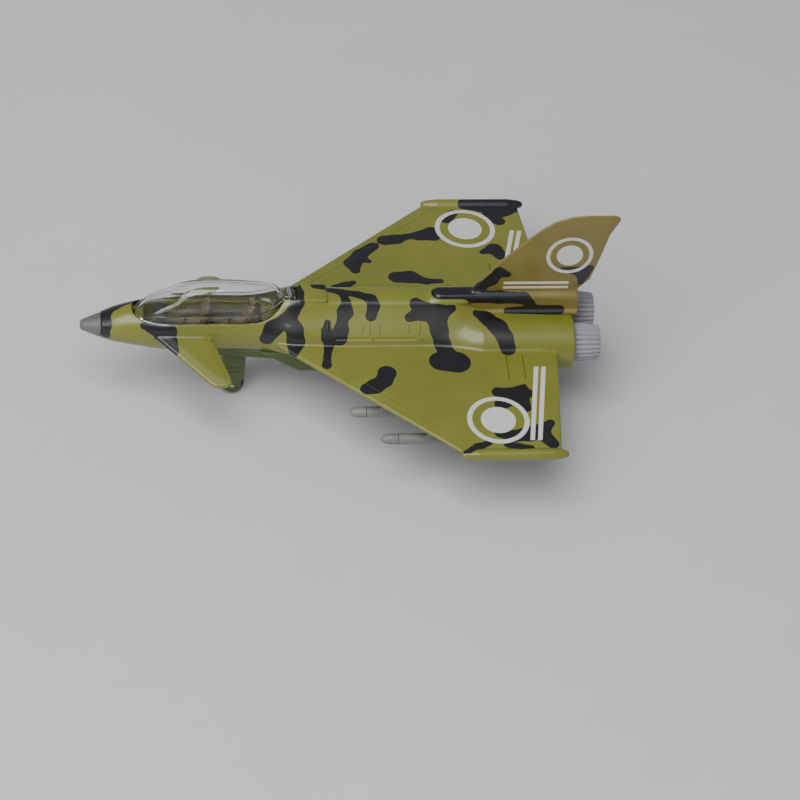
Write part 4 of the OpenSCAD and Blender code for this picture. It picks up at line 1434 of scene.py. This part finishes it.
def belly_piece():
    low = (BELLY_REAR, -18.5, TRUNK_BOTTOM)
    high = (BELLY_FRONT, 18.5, BELLY_TOP)
    piece = moulded("belly_shell", belly, box_lines(low, high, 0.45), BELLY_GREEN, 0.2)
    add(piece, "airframe", "belly_plastic", "belly")


belly_piece()


# ---- landing gear ----
def nose_leg():
    """Forked nose leg."""
    wheel = middle("nose_wheel") - [0, 0, AXIS]
    low, high = box_mm("nose_gear_leg")
    half_w = (high[1] - low[1]) / 2
    slot_half = (box_mm("nose_wheel")[1][1] - box_mm("nose_wheel")[0][1]) / 2 + 0.25
    bay_z = -11.9

    def shape(x, y, z):
        side = np.abs(y)
        ahead = x - wheel[0]
        up = z - wheel[2]
        tall = bay_z - wheel[2]
        round_end = slab(np.hypot(ahead, up) - 3.3, side - half_w, 0.7)
        block = brick(ahead, side, up, (0, 0, tall / 2 + 1.6), (8.2, 2 * half_w, tall - 2.2), 0.8)
        leg = join(round_end, block, 2.5)
        plug = brick(ahead, side, up, (0, 0, tall), (5, 4, 3), 0.3)
        leg = join(leg, plug, 0.3)
        arch = np.maximum(side - slot_half, up - 5.3)
        leg = cut(leg, arch, 0.35)
        for height in (7.4, 9.2):
            leg = cut(leg, np.maximum(np.abs(up - height) - 0.28, half_w - 0.35 - side), 0.15)
        boss = slab(np.hypot(ahead, up) - 1.7, np.abs(side - half_w) - 0.3, 0.2)
        return cut(join(leg, boss, 0.2), np.hypot(ahead, up) - 0.82, 0.1)

    low = (wheel[0] - 4.6, -half_w - 0.6, wheel[2] - 3.6)
    high = (wheel[0] + 4.6, half_w + 0.6, bay_z + 1.6)
    piece = moulded("nose_leg", shape, box_lines(low, high, 0.26), BELLY_GREEN, 0.14)
    add(piece, "airframe", "belly_plastic", "nose_gear_leg")


nose_leg()


def main_leg(name, node, wheel_node):
    """One main leg with a boss at the axle and a brace."""
    low, high = box_mm(node)
    leg_y = (low[1] + high[1]) / 2
    wheel = middle(wheel_node) - [0, 0, AXIS]
    half_w = (high[1] - low[1]) / 2

    def shape(x, y, z):
        across = np.abs(y - leg_y)
        ahead = x - wheel[0]
        up = z - wheel[2]
        tall = TRUNK_BOTTOM - wheel[2]
        eye = slab(np.hypot(ahead, up) - 3.1, across - half_w, 0.6)
        strut = brick(ahead, across, up, (0, 0, tall / 2 + 0.6), (6.2, 2 * half_w - 0.5, tall + 1.6), 0.6)
        leg = join(eye, strut, 1.4)
        brace = capsule(ahead, across, up, (-2.5, 0, 3.2), (-6.5, 0, tall + 0.4), 0.9, 0.9)
        leg = join(leg, brace, 0.5)
        for height in (4.6, 6.4, 8.2):
            leg = cut(leg, np.maximum(np.abs(up - height) - 0.25, half_w - 0.6 - across), 0.12)
        return cut(leg, np.hypot(ahead, up) - 0.82, 0.1)

    low = (wheel[0] - 7.6, leg_y - half_w, wheel[2] - 3.4)
    high = (wheel[0] + 3.6, leg_y + half_w, TRUNK_BOTTOM + 1.4)
    piece = moulded(name, shape, box_lines(low, high, 0.26), BELLY_GREEN, 0.14)
    add(piece, "airframe", "belly_plastic", node)


main_leg("leg_port", "main_leg_port", "main_wheel_port")
main_leg("leg_starboard", "main_leg_starboard", "main_wheel_starboard")


def road_wheel(name, node, body_name, studs):
    """Black wheel with a treaded rim, a dished hub and stud dimples."""
    low, high = box_mm(node)
    centre = (low + high) / 2 - [0, 0, AXIS]
    radius = (high[0] - low[0]) / 2
    half_w = (high[1] - low[1]) / 2

    def shape(x, y, z):
        ahead = x - centre[0]
        across = np.abs(y - centre[1])
        up = z - centre[2]
        away = np.hypot(ahead, up)
        turn = np.arctan2(up, ahead)
        tyre = slab(away - radius, across - half_w, 0.8)
        wave = np.cos(30 * turn)
        notch = np.maximum(np.maximum(0.55 - wave, radius - 0.24 - away) * 1.0, 0.5 - across)
        tyre = cut(tyre, np.maximum(notch * 0.3, across - half_w + 0.5), 0.08)
        tyre = cut(tyre, np.maximum(across - 0.2, radius - 0.3 - away), 0.1)
        dish = slab(away - 0.6 * radius, half_w - 0.55 - across, 0.2)
        tyre = cut(tyre, dish, 0.15)
        hub = slab(away - 0.3 * radius, across - half_w + 0.1, 0.2)
        tyre = join(tyre, hub, 0.15)
        for n in range(studs):
            angle = 2 * math.pi * n / studs
            spot = np.hypot(ahead - 0.45 * radius * math.cos(angle), up - 0.45 * radius * math.sin(angle))
            tyre = cut(tyre, np.maximum(spot - 0.09 * radius, half_w - 1.0 - across), 0.1)
        return cut(tyre, away - 0.85, 0.08)

    low = centre - [radius, half_w, radius]
    high = centre + [radius, half_w, radius]
    piece = moulded(name, shape, box_lines(low, high, 0.19), TYRE, 0.1)
    add(piece, body_name, "tyre_black", node)


road_wheel("wheel_nose", "nose_wheel", "nose_wheel_body", 5)
road_wheel("wheel_port", "main_wheel_port", "main_wheel_port_body", 6)
road_wheel("wheel_starboard", "main_wheel_starboard", "main_wheel_starboard_body", 6)

# pins, axles and screws keep the frame's own shapes
for node in ("canopy_pin", "nose_axle", "main_axle_port", "main_axle_starboard", "belly_screws"):
    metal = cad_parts[node]
    metal.data.materials.clear()
    metal.data.materials.append(STEEL)


# ---- camera ----
def place_camera():
    """The camera stands high on the port side and looks down on the airplane."""
    azimuth = math.radians(11.04)
    elevation = math.radians(43.28)
    roll = math.radians(7.04)
    away = 1.818
    aim = Vector((-0.0196, 0.0230, 0.0156))
    back = Vector(
        (
            math.sin(azimuth) * math.cos(elevation),
            math.cos(azimuth) * math.cos(elevation),
            math.sin(elevation),
        )
    )
    level = Vector((-math.cos(azimuth), math.sin(azimuth), 0))
    rise = back.cross(level)
    right = math.cos(roll) * level + math.sin(roll) * rise
    up = -math.sin(roll) * level + math.cos(roll) * rise
    data = bpy.data.cameras.new("camera")
    data.lens = 224
    data.sensor_width = 36
    data.clip_end = 20
    camera = bpy.data.objects.new("camera", data)
    turn = Matrix((right, up, back)).transposed().to_4x4()
    camera.matrix_world = Matrix.Translation(aim + away * back) @ turn
    bpy.context.scene.collection.objects.link(camera)
    bpy.context.scene.camera = camera


place_camera()


# ---- floor and light ----
def studio():
    """A plain pale floor and soft lights."""
    finish = Finish("floor", IOR=1.4)
    speck = finish.noise(40, 3)
    finish.feed(
        Base_Color=finish.mix(speck, (0.62, 0.62, 0.63, 1), (0.66, 0.66, 0.67, 1)),
        Roughness=0.8,
    )
    size = 6.0
    mesh = bpy.data.meshes.new("floor")
    corners = [(-size, -size, 0), (size, -size, 0), (size, size, 0), (-size, size, 0)]
    mesh.from_pydata(corners, [], [(0, 1, 2, 3)])
    mesh.materials.append(finish.material)
    floor = bpy.data.objects.new("floor", mesh)
    bpy.context.scene.collection.objects.link(floor)
    world = bpy.data.worlds.new("studio")
    world.use_nodes = True
    world.node_tree.nodes["Background"].inputs[0].default_value = (0.9, 0.93, 1.0, 1)
    world.node_tree.nodes["Background"].inputs[1].default_value = 0.32
    bpy.context.scene.world = world
    lamp("key", (0.38, 0.55, 1.25), 1.0, 19.0)
    lamp("front", (0.9, 0.9, 0.7), 0.6, 4.0)


def lamp(name, place, size, power):
    """A square soft light that faces the airplane."""
    data = bpy.data.lights.new(name, "AREA")
    data.size = size
    data.energy = power
    light = bpy.data.objects.new(name, data)
    light.location = place
    light.rotation_euler = Vector(place).to_track_quat("Z", "Y").to_euler()
    bpy.context.scene.collection.objects.link(light)


studio()
